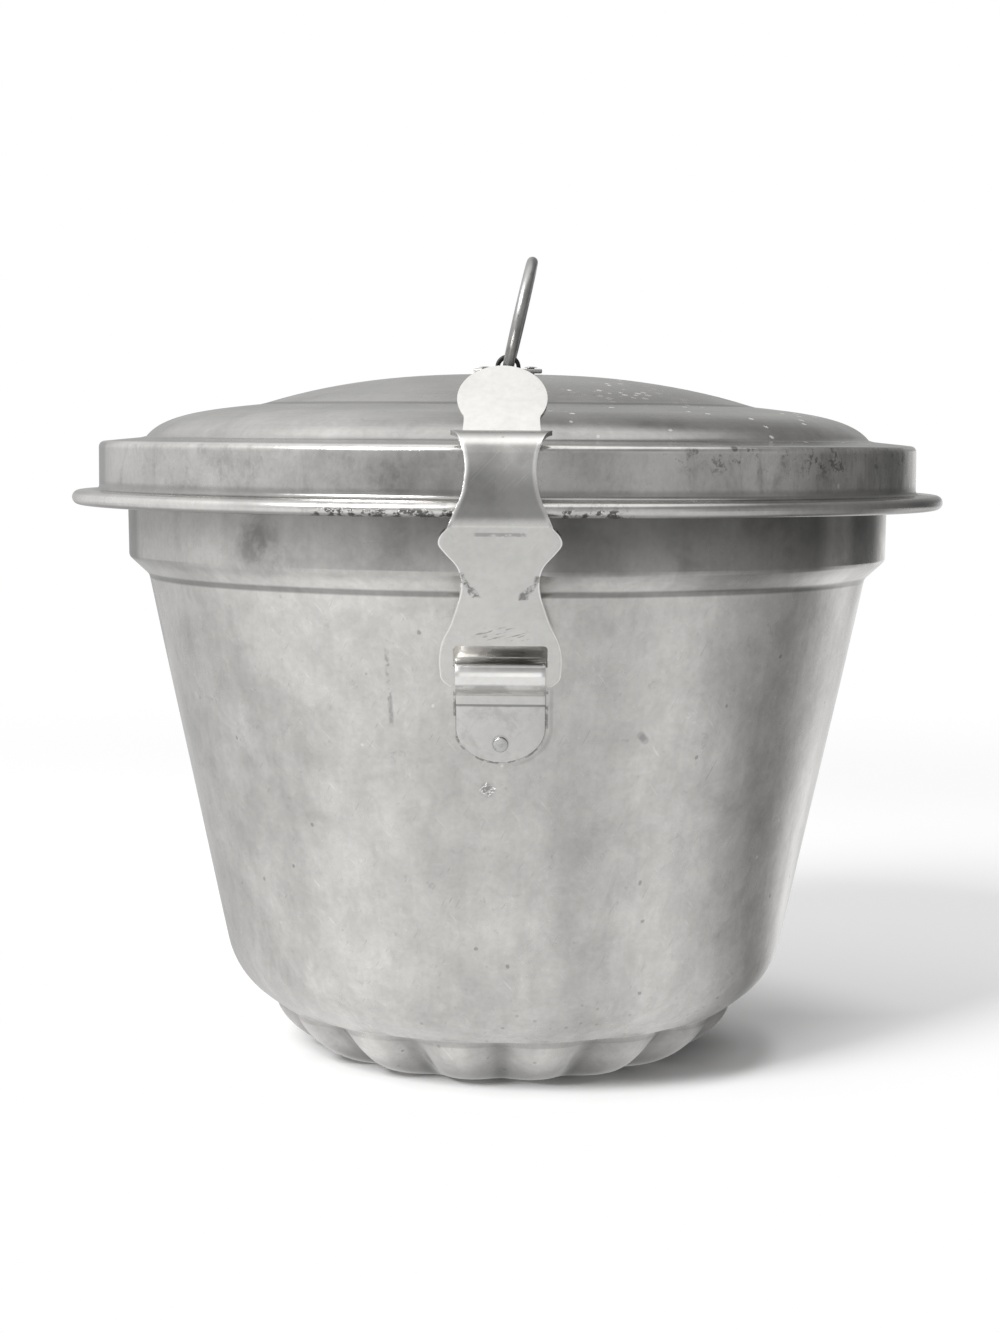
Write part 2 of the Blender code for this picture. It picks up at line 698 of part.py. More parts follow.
def bracket_mesh():
    """Bracket: round tongue on the wall, roll about the clip's bar, and a leaf pressed down in front."""
    half_sheet = BRACKET_SHEET / 2
    on_wall = FIT + half_sheet
    roll = ROLL_BORE + half_sheet
    centre_off = pivot_off_wall
    ends = [TONGUE_ROUND * (1 - math.cos(turn)) for turn in quarter_turn(TONGUE_STEPS)]
    path = [(on_wall, -TONGUE_LENGTH + e) for e in ends] + [(on_wall, -TONGUE_FLAT)]
    turn = arc((centre_off, 0), roll, math.pi, -ROLL_EXIT, 10)
    leaf = 2 * FIT + BRACKET_SHEET + half_sheet
    exit_out, exit_up = turn[-1]
    reach = (exit_out - leaf) / math.sin(ROLL_EXIT)
    bend_up = exit_up - reach * math.cos(ROLL_EXIT)
    path += turn + rounded([
        (exit_out, exit_up, 0, 0),
        (leaf, bend_up, LEAF_ROUND, 3),
        (leaf, bend_up - LEAF_LENGTH, 0, 0),
    ])[1:]
    half = BRACKET_WIDTH / 2
    widths = [max(half * math.sin(turn), TONGUE_TIP) for turn in quarter_turn(TONGUE_STEPS)]
    widths += [half] * (len(path) - len(widths))
    lean = Vector((math.cos(wall_lean), -math.sin(wall_lean)))
    rise = Vector((math.sin(wall_lean), math.cos(wall_lean)))
    foot = Vector((hinge_radius, HINGE_HEIGHT)) - lean * centre_off

    def on_cone(x, out, up):
        spot = foot + lean * out + rise * up
        tucked = min(max((-TONGUE_FLAT - up) / (TONGUE_CURVED_FROM - TONGUE_FLAT), 0), 1)
        follows = tucked if out < on_wall + BRACKET_SHEET else 0
        angle = x / spot.x
        round_back = spot.x * (1 - math.cos(angle)) * follows
        return (x, -(spot.x - round_back), spot.y)

    columns = (-1, INNER_COLUMN - 1, 1 - INNER_COLUMN, 1)
    return strip("bracket", path, widths, BRACKET_SHEET, columns, bend=on_cone)


def make_clips_and_brackets(aluminium, rivet_metal, basin):
    """A clip, its bracket and the bracket's rivet at the front, and the same again at the back."""
    clip_shape = clip_mesh()
    bracket_shape = bracket_mesh()
    along_wall = TONGUE_LENGTH - BRACKET_RIVET_UP
    rivet_z = HINGE_HEIGHT + math.sin(wall_lean) * pivot_off_wall - along_wall * math.cos(wall_lean)
    grip = BASIN_SHEET + FIT + BRACKET_SHEET
    for side, turn in (("front", 0.0), ("back", math.pi)):
        facing = Matrix.Rotation(turn, 3, "Z")
        hinge = facing @ Vector((0, -hinge_radius, HINGE_HEIGHT))
        new_object(f"clip_{side}", clip_shape, aluminium["clip"], hinge, turn)
        bracket = new_object(f"bracket_{side}", bracket_shape, aluminium["bracket"], turn=turn)
        normal = facing @ Vector((0, -math.cos(wall_lean), -math.sin(wall_lean)))
        on_face = facing @ Vector((0, -wall_radius(rivet_z), rivet_z))
        hole = drill(f"bracket_hole_{side}", on_face, normal)
        cut(bracket, [hole])
        cut(basin, [hole])
        rivet(f"bracket_rivet_{side}", on_face + normal * (FIT + BRACKET_SHEET), normal, grip, rivet_metal)


def main():
    """Clears the scene and makes every piece."""
    for old in list(bpy.data.objects):
        bpy.data.objects.remove(old)
    basin = make_basin(new_material("basin_aluminium", (0.66, 0.66, 0.64), 0.36))
    make_tube(new_material("tube_aluminium", (0.62, 0.62, 0.61), 0.40))
    make_lid(new_material("lid_aluminium", (0.56, 0.56, 0.54), 0.34))
    make_saddle(new_material("saddle_aluminium", (0.34, 0.34, 0.33), 0.42))
    make_ring(new_material("ring_steel", (0.42, 0.42, 0.41), 0.30))
    rivet_metal = new_material("rivet_aluminium", (0.60, 0.60, 0.58), 0.38)
    grip = SADDLE_SHEET + FIT + LID_SHEET
    for name, side in (("left", -1), ("right", 1)):
        top = (side * saddle_rivet_x, 0, saddle_foot_z + SADDLE_SHEET / 2)
        rivet(f"saddle_rivet_{name}", top, (0, 0, 1), grip, rivet_metal)
    aluminium = {
        "clip": new_material("clip_aluminium", (0.72, 0.72, 0.70), 0.28),
        "bracket": new_material("bracket_aluminium", (0.70, 0.70, 0.68), 0.30),
    }
    make_clips_and_brackets(aluminium, rivet_metal, basin)


main()
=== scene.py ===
"""Looks of the steamed pudding mould: aged spun aluminium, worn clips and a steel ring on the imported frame.

Metres, +Z up, the photographed clip at -Y. Angles round the mould are counted from -Y towards +X.
"""

import json
from math import asin, atan2, ceil, cos, dist, pi, radians, sin, sqrt, tan, tau

import bmesh
import bpy
from mathutils import Matrix, Vector, noise


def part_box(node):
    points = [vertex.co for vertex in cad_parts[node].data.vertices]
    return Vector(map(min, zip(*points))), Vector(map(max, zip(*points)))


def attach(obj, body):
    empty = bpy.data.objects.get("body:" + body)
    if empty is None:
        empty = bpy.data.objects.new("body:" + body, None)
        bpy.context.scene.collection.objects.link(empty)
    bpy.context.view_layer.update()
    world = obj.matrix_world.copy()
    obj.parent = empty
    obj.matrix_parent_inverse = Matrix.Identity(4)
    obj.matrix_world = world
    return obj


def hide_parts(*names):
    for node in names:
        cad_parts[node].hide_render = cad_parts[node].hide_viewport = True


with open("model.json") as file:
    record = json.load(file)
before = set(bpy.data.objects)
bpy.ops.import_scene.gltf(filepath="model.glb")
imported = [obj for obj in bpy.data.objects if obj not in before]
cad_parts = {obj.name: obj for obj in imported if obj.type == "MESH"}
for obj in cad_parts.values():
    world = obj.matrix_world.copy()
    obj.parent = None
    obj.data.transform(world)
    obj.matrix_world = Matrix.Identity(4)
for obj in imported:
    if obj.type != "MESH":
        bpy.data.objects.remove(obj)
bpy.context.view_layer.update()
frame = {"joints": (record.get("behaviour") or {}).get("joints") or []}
joints = {joint["name"]: joint for joint in frame["joints"]}

# Sheets, wire and the gap between pieces that touch
SHEET = 0.0010
TUBE_SHEET = 0.0008
STRAP_SHEET = 0.0009
FIT = 0.0003
WIRE = 0.0025

# Basin, outer surface
RIM_BEAD = 0.0025
RIM_CURL_END = radians(-105)
NECK_TAPER = 0.0003
NECK_DEPTH = 0.0233
NECK_CORNER_ROUND = 0.0015
STEP_IN = 0.0043
STEP_DROP = 0.0040
STEP_ROUND = 0.0020
WALL_FOOT_RADIUS = 0.0600
WALL_FOOT = 0.0181
SHOULDER_ROUND = 0.0185
SHOULDER_IN = 0.0088
SHOULDER_DROP = 0.0067
LIP_ROUND = 0.0006
LIP_DROP = 0.0006
LOBES = 16
LOBE_TOP_IN = 0.0004
LOBE_FULLNESS = 1.5
VALLEY_TOP_IN = 0.0026
VALLEY_FOOT_IN = 0.0015
VALLEY_FULLNESS = 1.1
REST_RING_OUTER = 0.0365
REST_RING_INNER = 0.0310
REST_RING_ROUND = 0.0030
HUB_RADIUS = 0.0240
HUB_RISE = 0.0042
HUB_ROUND = 0.0020

# Centre tube
TUBE_BELOW_RIM = 0.0145
TUBE_TOP_RADIUS = 0.0115
TUBE_FOOT_RADIUS = 0.0155
TUBE_BEAD = 0.0015
TUBE_FLARE = 0.0021
TUBE_FLARE_DROP = 0.0006

# Lid, outer surface
BAND_GAP = 0.0010
BAND_CORNER_ROUND = 0.0013
FLANGE_FILLET = 0.0010
FLANGE_REACH = 0.0043
FLANGE_FALL = 0.0002
FLANGE_BEAD = 0.0015
FLANGE_CURL_TURN = radians(230)
LEDGE_WIDTH = 0.0102
LEDGE_RISE = 0.0009
DOME_FOOT_ROUND = 0.0012
STEP_RISE = 0.0076
STEP_RADIUS = 0.0544
STEP_FALL = 0.0013
STEP_SHOULDER = 0.0045
STEP_SHOULDER_IN = 0.0035
CREASE_WIDTH = 0.0012
CREASE_DEPTH = 0.0003
DOME_RISE = 0.0067
DOME_FULLNESS = 2.5

# Ring and saddle
RING_RADIUS = 0.01175
RING_LEAN = radians(12.7)
SADDLE_WIDTH = 0.0055
SADDLE_FOOT = 0.0052
SADDLE_ROUND = 0.0006
SADDLE_RIVET_OUT = 0.0027

# Clips
WINDOW_WIDTH = 0.0180
WINDOW_HEIGHT = 0.0050
WINDOW_CORNER = 0.0008
LUG_DROP = 0.0026
LUG_END_IN = 0.0019
CREASE_BELOW_FLANGE = 0.0032
CREASE_OUT = 0.00174
CREASE_ROUND = 0.0011
PAST_FLANGE_GAP = 0.0008
PAST_FLANGE_ANGLE = radians(27)
PAST_FLANGE_ROUND = 0.0200
HOOK_RISE = 0.0031
HOOK_ROUND = 0.0044
SPRUNG_OUT = 0.0020
HOOK_CORNER_UP = 0.0006
HOOK_DIP = 0.0015
HOOK_IN = 0.0032
DIP_ROUND = 0.0014
DISC_STEM = 0.0010
DISC_RADIUS = 0.0086
DISC_NECK = 0.0072
DISC_NECK_SHARE = 0.40
DISC_TIP = 0.0009
DISC_SLOPE = radians(47)

# Columns over the clip's window: share of the half width just above it and further up, and the way between
MIDDLE_SHARE = (0.95, 0.65)
MIDDLE_EASE = 0.0040

# Half width of the clip at a share of the way from hinge to crease, and from crease to disc
LOWER_OUTLINE = ((0.00, 0.0116), (0.11, 0.01175), (0.235, 0.0111), (0.35, 0.0095), (0.47, 0.0083),
                 (0.59, 0.0074), (0.69, 0.0075), (0.76, 0.0083), (0.84, 0.0103), (0.90, 0.0115),
                 (0.96, 0.0110))
UPPER_OUTLINE = ((0.00, 0.0098), (0.12, 0.0086), (0.24, 0.0074), (0.40, 0.0067), (0.53, 0.0067),
                 (0.66, 0.0073), (0.79, 0.0085), (0.89, 0.0095), (1.00, 0.0074))

# Brackets
ROLL_BORE = 0.0025
ROLL_EXIT = radians(60)
LEAF_ROUND = 0.0012
LEAF_LENGTH = 0.0020
BRACKET_WIDTH = 0.0172
TONGUE_LENGTH = 0.0186
TONGUE_ROUND = 0.0068
TONGUE_TIP = 0.0014
TONGUE_FLAT = 0.0047
TONGUE_BENDS_BELOW = 0.0067
TONGUE_CURVED_FROM = 0.0093

# Rivets
RIVET_SHANK = 0.0008
RIVET_HEAD = 0.0015
RIVET_HEAD_RISE = 0.00025
BRACKET_RIVET_UP = 0.0036

# Unevenness of the turned sheet, as depth and waves across a metre
BASIN_WAVE = 0.00012
BASIN_WAVES_ROUND = 2.2
BASIN_WAVES_UP = 30
BASIN_WAVE_FROM = (0.012, 0.030)
LID_SIDE_WAVE = 0.00006
LID_TOP_WAVE = 0.00010
LID_WAVES = 40
LID_TOP_ENDS = (0.070, 0.080)

# Fineness of the meshes
SEGMENTS = 256
RIVET_SEGMENTS = 32
RING_STEPS = 120
WIRE_STEPS = 24
CORNER_STEPS = 8
CROWN_STEPS = 14
DOME_STEPS = 16
SLOPE_STEPS = 20
ROLL_STEPS = 40
TONGUE_STEPS = 16
DISC_STEPS = 18
WINDOW_CORNER_STEPS = 5
LONGEST_STEP = 0.0030
STRAP_STEP = 0.0006
STRAP_COLUMNS = 9
SIDE_COLUMNS = 4
SADDLE_COLUMNS = 8
BRACKET_COLUMNS = 16
EDGE_ROUND = 0.00036
EDGE_SEGMENTS = 3
EDGE_ANGLE = radians(50)
INSIDE_FACETS = 0.00004
SAME_POINT = 1e-7

# Camera of the photograph
PICTURE_HEIGHT = 1333
FOCAL_PIXELS = 2600
SENSOR = 36
CAMERA_DISTANCE = 0.576
CAMERA_HEIGHT = 0.1359
CAMERA_ASIDE = -0.00144
CAMERA_TURN = radians(0.9)
CAMERA_PITCH = radians(5.107)
CAMERA_ROLL = radians(0.40)

# Light of the room round the mould as (degrees, brightness): level with it, above it and off the floor, and
# the degrees of height over which each gives way to the next
HORIZON = ((-180, 0.50), (-162, 0.50), (-138, 0.75), (-118, 0.88), (-75, 0.85), (-50, 0.66), (-22, 0.34),
           (-9, 0.42), (0, 1.10), (9, 0.42), (20, 0.36), (41, 0.62), (57, 0.38), (73, 0.44), (92, 0.27),
           (114, 0.22), (135, 0.12), (150, 0.24), (165, 0.45), (180, 0.50))
SKY = ((-180, 0.50), (-172, 0.74), (-150, 0.85), (-90, 0.95), (-45, 0.55), (0, 0.32), (60, 0.30),
       (120, 0.26), (150, 0.24), (166, 0.27), (180, 0.50))
# The floor's glow in reflections is painted light standing for the lit floor, with painted shadow where it
# dips
FLOOR_GLOW = ((-180, 0.70), (-130, 0.60), (-75, 0.85), (-45, 0.93), (0, 0.72), (25, 0.58), (48, 0.78),
              (62, 0.66), (80, 0.38), (95, 0.25), (106, 0.34), (118, 0.66), (131, 1.00), (150, 0.72),
              (180, 0.60))
SKY_BEGINS = (8, 32)
OVERHEAD_BEGINS = (48, 70)
OVERHEAD = 1.2

# Share of the white backdrop in reflections round the mould, and the degrees of height at which it ends
BACKDROP = ((-180, 1.0), (-176, 0.0), (147, 0.0), (162, 1.0), (180, 1.0))
BACKDROP_ENDS = (4, 2)

# Floor, and the distances over which its glow dims beside the mould as painted shadow and it whitens far off
FLOOR_RADIUS = 0.75
FLOOR_SIDES = 96
FLOOR_WHITE = 0.90
FLOOR_ROUGHNESS = 0.9
FLOOR_SPECULAR = 0.1
FLOOR_WHITENS = 0.25
NEAR_FLOOR = (0.055, 0.11)
NEAR_FLOOR_SHARE = 0.95

# Shadow that the camera sees: which way it lies, where it begins and ends, and how it pales away from contact
SHADOW_TURN = radians(134)
SHADOW_BEGINS = (-0.030, 0.030)
SHADOW_SIDE_TURN = radians(53)
SHADOW_SIDE_ENDS = (0.025, 0.115)
SHADOW_LIFTS = (0.062, 0.110)
SHADOW_LIFT = 0.34
CONTACT = (0.056, 0.064)

# Key lamp
KEY_SPOT = (-0.72, -0.84, 0.90)
KEY_TARGET = (0, 0, 0.05)
KEY_SIZE = 0.45
KEY_POWER = 22

# Colour, roughness, clouding and grain of each metal
FINISHES = {
    "basin aluminium": ((0.674, 0.662, 0.643), 0.20, 0.08, 0.06),
    "tube aluminium": ((0.62, 0.62, 0.61), 0.36, 0.12, 0.06),
    "lid aluminium": ((0.588, 0.578, 0.563), 0.18, 0.10, 0.07),
    "clip aluminium": ((0.745, 0.737, 0.716), 0.20, 0.05, 0.05),
    "bracket aluminium": ((0.727, 0.718, 0.700), 0.16, 0.05, 0.05),
    "ring steel": ((0.44, 0.44, 0.435), 0.38, 0.14, 0.10),
    "saddle steel": ((0.50, 0.50, 0.49), 0.42, 0.12, 0.12),
    "rivet aluminium": ((0.66, 0.66, 0.65), 0.34, 0.08, 0.06),
}

# Spots on the wall as (degrees, height) that make up an oval stain
OVAL_STAIN = ((22.3, 0.0770), (22.7, 0.0765), (23.1, 0.0760))

# Range that most of a noise lies in, degrees in a radian, and the sides that carry a clip
MIDDLE_OF_NOISE = (0.3, 0.7)
DEGREES = 180 / pi
SIDES = (("front", 0.0), ("back", pi))

# Places read from the frame, and what follows from them
lid_low, lid_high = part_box("lid")
dome_top = lid_high.z
crease_height = dome_top - DOME_RISE
dome_foot = crease_height - STEP_RISE
lid_ledge = dome_foot - LEDGE_RISE
flange_bead_r = lid_high.x - FLANGE_BEAD
flange_bead_z = lid_low.z + FLANGE_BEAD
band_radius = flange_bead_r - FLANGE_REACH
dome_foot_radius = band_radius - LEDGE_WIDTH
rim_height = lid_ledge - FIT - SHEET
rim_radius = band_radius - SHEET - BAND_GAP
neck_radius = rim_radius + SHEET - 2 * RIM_BEAD
neck_foot = rim_height - NECK_DEPTH
wall_top_radius = neck_radius - NECK_TAPER - STEP_IN
wall_top = neck_foot - STEP_DROP
wall_lean = atan2(wall_top_radius - WALL_FOOT_RADIUS, wall_top - WALL_FOOT)
crown_top_radius = WALL_FOOT_RADIUS - SHOULDER_IN
lip_height = WALL_FOOT - SHOULDER_DROP
floor_top = HUB_RISE + SHEET
hinge_radius = -joints["clip_front_swing"]["pos_m"][1]
hinge_height = joints["clip_front_swing"]["pos_m"][2]
ring_pivot = joints["ring_swing"]["pos_m"][2]
pivot_off_wall = FIT + STRAP_SHEET + ROLL_BORE
saddle_bore = WIRE / 2 + 2 * FIT
saddle_leg = saddle_bore + STRAP_SHEET / 2
saddle_foot_z = dome_top + FIT + STRAP_SHEET / 2
saddle_rivet_x = saddle_leg + SADDLE_RIVET_OUT


def wall_radius(height):
    """Outer radius of the tapered wall at a height."""
    return wall_top_radius - (wall_top - height) * tan(wall_lean)


def on_wall(degrees, height):
    """A point on the tapered wall."""
    angle = radians(degrees)
    radius = wall_radius(height)
    return Vector((radius * sin(angle), -radius * cos(angle), height))


def rivet_height():
    """Height of the rivet in a bracket's tongue."""
    along_wall = TONGUE_LENGTH - BRACKET_RIVET_UP
    return hinge_height + sin(wall_lean) * pivot_off_wall - along_wall * cos(wall_lean)


def arc(centre, radius, start, end, steps):
    """Points along an arc, angles in radians from +X."""
    turn = (end - start) / steps
    angles = [start + turn * i for i in range(steps + 1)]
    return [(centre[0] + radius * cos(a), centre[1] + radius * sin(a)) for a in angles]


def quarter_turn(steps):
    """Angles from 0 to a right angle in even steps."""
    return [pi / 2 * i / steps for i in range(steps + 1)]


def across(half, columns):
    """Even places from one edge of a strap to the other."""
    return [half * (2 * k / columns - 1) for k in range(columns + 1)]


def rounded(corners):
    """A polyline through (x, y, round) corners, each with a round replaced by its arc."""
    path = []
    for i, (x, y, fillet) in enumerate(corners):
        if fillet == 0:
            path.append((x, y))
            continue
        here = Vector((x, y))
        back = (Vector(corners[i - 1][:2]) - here).normalized()
        ahead = (Vector(corners[i + 1][:2]) - here).normalized()
        half = back.angle(ahead) / 2
        middle = here + (back + ahead).normalized() * fillet / sin(half)
        first = here + back * fillet / tan(half) - middle
        last = here + ahead * fillet / tan(half) - middle
        start = atan2(first.y, first.x)
        sweep = (atan2(last.y, last.x) - start + pi) % (2 * pi) - pi
        path.extend(arc(middle, fillet, start, start + sweep, CORNER_STEPS))
    return path


def bezier(a, b, c, d, steps):
    """Points along a cubic curve, without its first one."""
    points = []
    for i in range(1, steps + 1):
        t = i / steps
        weights = ((1 - t) ** 3, 3 * (1 - t) ** 2 * t, 3 * (1 - t) * t * t, t**3)
        points.append(tuple(sum(w * p[k] for w, p in zip(weights, (a, b, c, d))) for k in range(2)))
    return points


def split_counts(path):
    """How many parts each stretch of a path is split into, so that none is long."""
    return [max(1, ceil(dist(a, b) / LONGEST_STEP)) for a, b in zip(path, path[1:])]


def split(path, counts):
    """The path with its stretches split into parts."""
    points = [path[0]]
    for a, b, count in zip(path, path[1:], counts):
        points += [(a[0] + (b[0] - a[0]) * i / count, a[1] + (b[1] - a[1]) * i / count)
                   for i in range(1, count + 1)]
    return points


def to_the_right(path, distance):
    """The path moved sideways, to the right of its direction of travel."""
    points = [Vector(p) for p in path]
    moved = []
    for i, point in enumerate(points):
        normals = []
        for a, b in ((i - 1, i), (i, i + 1)):
            if a >= 0 and b < len(points):
                along = (points[b] - points[a]).normalized()
                normals.append(Vector((along.y, -along.x)))
        normal = sum(normals, Vector((0, 0))).normalized()
        moved.append(tuple(point + normal * distance / normal.dot(normals[0])))
    return moved


def sheet_section(path, thickness):
    """Closed outline of a bent sheet whose one face follows the path."""
    return path + to_the_right(path, thickness)[::-1]


def smoothstep(low, high, value):
    """0 below low, 1 above high, eased between them."""
    share = min(max((value - low) / (high - low), 0), 1)
    return share * share * (3 - 2 * share)


def soften(piece):
    """Rounds the cut edges of a strap a little, as years of handling do."""
    rounding = piece.modifiers.new("worn edges", "BEVEL")
    rounding.width = EDGE_ROUND
    rounding.segments = EDGE_SEGMENTS
    rounding.limit_method = "ANGLE"
    rounding.angle_limit = EDGE_ANGLE


def new_piece(name, shape, material, body, slot, nodes):
    """A smooth closed mesh that rides on a body and stands for some CAD nodes. Straps get worn edges."""
    points, faces, *insets = shape
    mesh = bpy.data.meshes.new(name)
    mesh.from_pydata([tuple(p) for p in points], [], faces)
    for inset in insets:
        mesh.attributes.new("inset", "FLOAT", "POINT").data.foreach_set("value", inset)
    work = bmesh.new()
    work.from_mesh(mesh)
    bmesh.ops.remove_doubles(work, verts=work.verts, dist=SAME_POINT)
    bmesh.ops.recalc_face_normals(work, faces=work.faces)
    work.to_mesh(mesh)
    work.free()
    mesh.shade_smooth()
    mesh.materials.append(material)
    piece = bpy.data.objects.new(name, mesh)
    bpy.context.scene.collection.objects.link(piece)
    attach(piece, body)
    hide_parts(*nodes)
    if insets:
        soften(piece)


def turned(section_at, segments, shift=None):
    """Points and faces of a turned solid. A section that starts on the axis is closed by two poles."""
    first = section_at(0)
    poles = first[0][0] == 0
    points = []
    faces = []
    count = len(first) - 2 if poles else len(first)
    for step in range(segments):
        angle = 2 * pi * step / segments
        here = section_at(step)
        for r, z in here[1:-1] if poles else here:
            if shift:
                out, up = shift(angle, r, z)
                r, z = r + out, z + up
            points.append((r * sin(angle), -r * cos(angle), z))
    for step in range(segments):
        now, after = step * count, (step + 1) % segments * count
        for i in range(count - 1 if poles else count):
            j = (i + 1) % count
            faces.append((now + i, after + i, after + j, now + j))
    if poles:
        for end, row in ((first[0], 0), (first[-1], count - 1)):
            points.append((0, 0, end[1]))
            for step in range(segments):
                faces.append((len(points) - 1, step * count + row, (step + 1) % segments * count + row))
    return points, faces


def plate(front, back, present):
    """Points and faces of a bent plate from two grids, with a hole or edge where a cell is missing.

    The third list is how far each point lies from the side edge of its row.
    """
    rows, columns = len(front), len(front[0])
    points = [p for row in front for p in row] + [p for row in back for p in row]
    base = rows * columns
    faces = []

    def cell(i, j):
        """Whether there is sheet between these rows and columns."""
        return 0 <= i < rows - 1 and 0 <= j < columns - 1 and present(i, j)

    for i in range(rows - 1):
        for j in range(columns - 1):
            if not cell(i, j):
                continue
            ring = [i * columns + j, i * columns + j + 1, (i + 1) * columns + j + 1, (i + 1) * columns + j]
            faces.append(tuple(ring))
            faces.append(tuple(base + k for k in reversed(ring)))
            beside = ((i - 1, j), (i, j + 1), (i + 1, j), (i, j - 1))
            for side, (a, b) in enumerate(beside):
                if not cell(a, b):
                    p, q = ring[side], ring[(side + 1) % 4]
                    faces.append((q, p, base + p, base + q))
    used = sorted({k for face in faces for k in face})
    renumber = {k: n for n, k in enumerate(used)}
    inset = []
    for k in used:
        row, column = k // columns * columns, k % columns
        side = 0 if column < columns / 2 else columns - 1
        inset.append((Vector(points[k]) - Vector(points[row + side])).length)
    return [points[k] for k in used], [tuple(renumber[k] for k in f) for f in faces], inset


def strap(path, edges_at, placed, present=lambda i, j: True):
    """A bent strap along an (out, up) centre line. edges_at gives a row's places across the strap."""
    grids = []
    for line in (to_the_right(path, -STRAP_SHEET / 2), to_the_right(path, STRAP_SHEET / 2)):
        grids.append([[placed(x, out, up) for x in edges_at(i)] for i, (out, up) in enumerate(line)])
    return plate(grids[0], grids[1], present)


class Nodes:
    """A tree of shader nodes, with short calls for those that the room, the floor and the finishes share.

    Where a mask is asked for, (value, low, high) stands for one that eases from 0 at low to 1 at high, or
    between a fourth and a fifth number, and (value, low, high, ease) for one that is 1 between the two.
    """

    def __init__(self, tree, place):
        self.tree = tree
        self.place = self.node("ShaderNodeTexCoord").outputs[place]

    def node(self, kind, inputs=None, **settings):
        """A new node, with numbers or links on its inputs."""
        made = self.tree.nodes.new(kind)
        for name, value in settings.items():
            setattr(made, name, value)
        for name, value in (inputs or {}).items():
            self.feed(made.inputs[name], value)
        return made

    def feed(self, socket, value):
        """Links an input to an output, or sets its number."""
        if isinstance(value, bpy.types.NodeSocket):
            self.tree.links.new(value, socket)
        else:
            socket.default_value = value

    def math(self, operation, *values):
        """One operation on numbers."""
        return self.node("ShaderNodeMath", dict(enumerate(values)), operation=operation).outputs[0]

    def vector(self, operation, a, b=(0, 0, 0)):
        """One operation on vectors."""
        made = self.node("ShaderNodeVectorMath", {0: a, 1: b}, operation=operation)
        return made.outputs["Value" if operation in ("LENGTH", "DOT_PRODUCT") else "Vector"]

    def spread(self, value, low, high, to_low=0.0, to_high=1.0):
        """Maps a range of a value to another, eased and clamped."""
        settings = {"Value": value, "From Min": low, "From Max": high, "To Min": to_low, "To Max": to_high}
        return self.node("ShaderNodeMapRange", settings, interpolation_type="SMOOTHSTEP").outputs[0]

    def between(self, value, low, high, ease):
        """1 where a value lies between two bounds, eased outside them."""
        return self.both((value, low - ease, low), (value, high + ease, high))

    def joined(self, operation, masks):
        """Some masks joined one after the other."""
        whole = None
        for mask in masks:
            if isinstance(mask, tuple):
                mask = self.between(*mask) if len(mask) == 4 else self.spread(*mask)
            whole = mask if whole is None else self.math(operation, whole, mask)
        return whole

    def both(self, *masks):
        """The product of some masks."""
        return self.joined("MULTIPLY", masks)

    def either(self, *masks):
        """The greatest of some masks."""
        return self.joined("MAXIMUM", masks)

    def mix(self, share, a, b):
        """Two shaders in one."""
        return self.node("ShaderNodeMixShader", {0: share, 1: a, 2: b}).outputs[0]

    def axis(self, letter):
        """The place along an axis."""
        return self.node("ShaderNodeSeparateXYZ", {0: self.place}).outputs[letter]

    def around(self, scale, start=0.0):
        """The angle round the mould, in radians times a scale."""
        angle = self.math("ARCTAN2", self.axis("X"), self.math("MULTIPLY", self.axis("Y"), -1.0))
        return self.math("MULTIPLY_ADD", angle, scale, start)

    def distance(self, spot=(0, 0, 0), scale=(1, 1, 1)):
        """Distance from a spot, stretched along the axes by the scale."""
        offset = self.vector("SUBTRACT", self.place, tuple(spot))
        return self.vector("LENGTH", self.vector("MULTIPLY", offset, scale))

    def near(self, spot, reach, scale=(1, 1, 1)):
        """1 at a spot, easing to 0 at its reach."""
        return self.spread(self.distance(spot, scale), reach, 0)

    def ramp(self, stops):
        """Brightness round the mould, eased between (degrees, brightness) stops."""
        node = self.node("ShaderNodeValToRGB", {"Fac": self.around(1 / tau, 0.5)})
        node.color_ramp.interpolation = "EASE"
        marks = node.color_ramp.elements
        while len(marks) < len(stops):
            marks.new(0.5)
        for mark, (degrees, bright) in zip(marks, stops):
            mark.position = degrees / 360 + 0.5
            mark.color = (bright, bright, bright, 1)
        return node.outputs["Color"]

    def sees_backdrop(self, *low):
        """1 for camera and transmission rays, and for glossy rays that go low to the backdrop behind."""
        rays = self.node("ShaderNodeLightPath").outputs
        behind = self.both(rays["Is Glossy Ray"], self.ramp(BACKDROP), *low)
        return self.either(rays["Is Camera Ray"], rays["Is Transmission Ray"], behind)


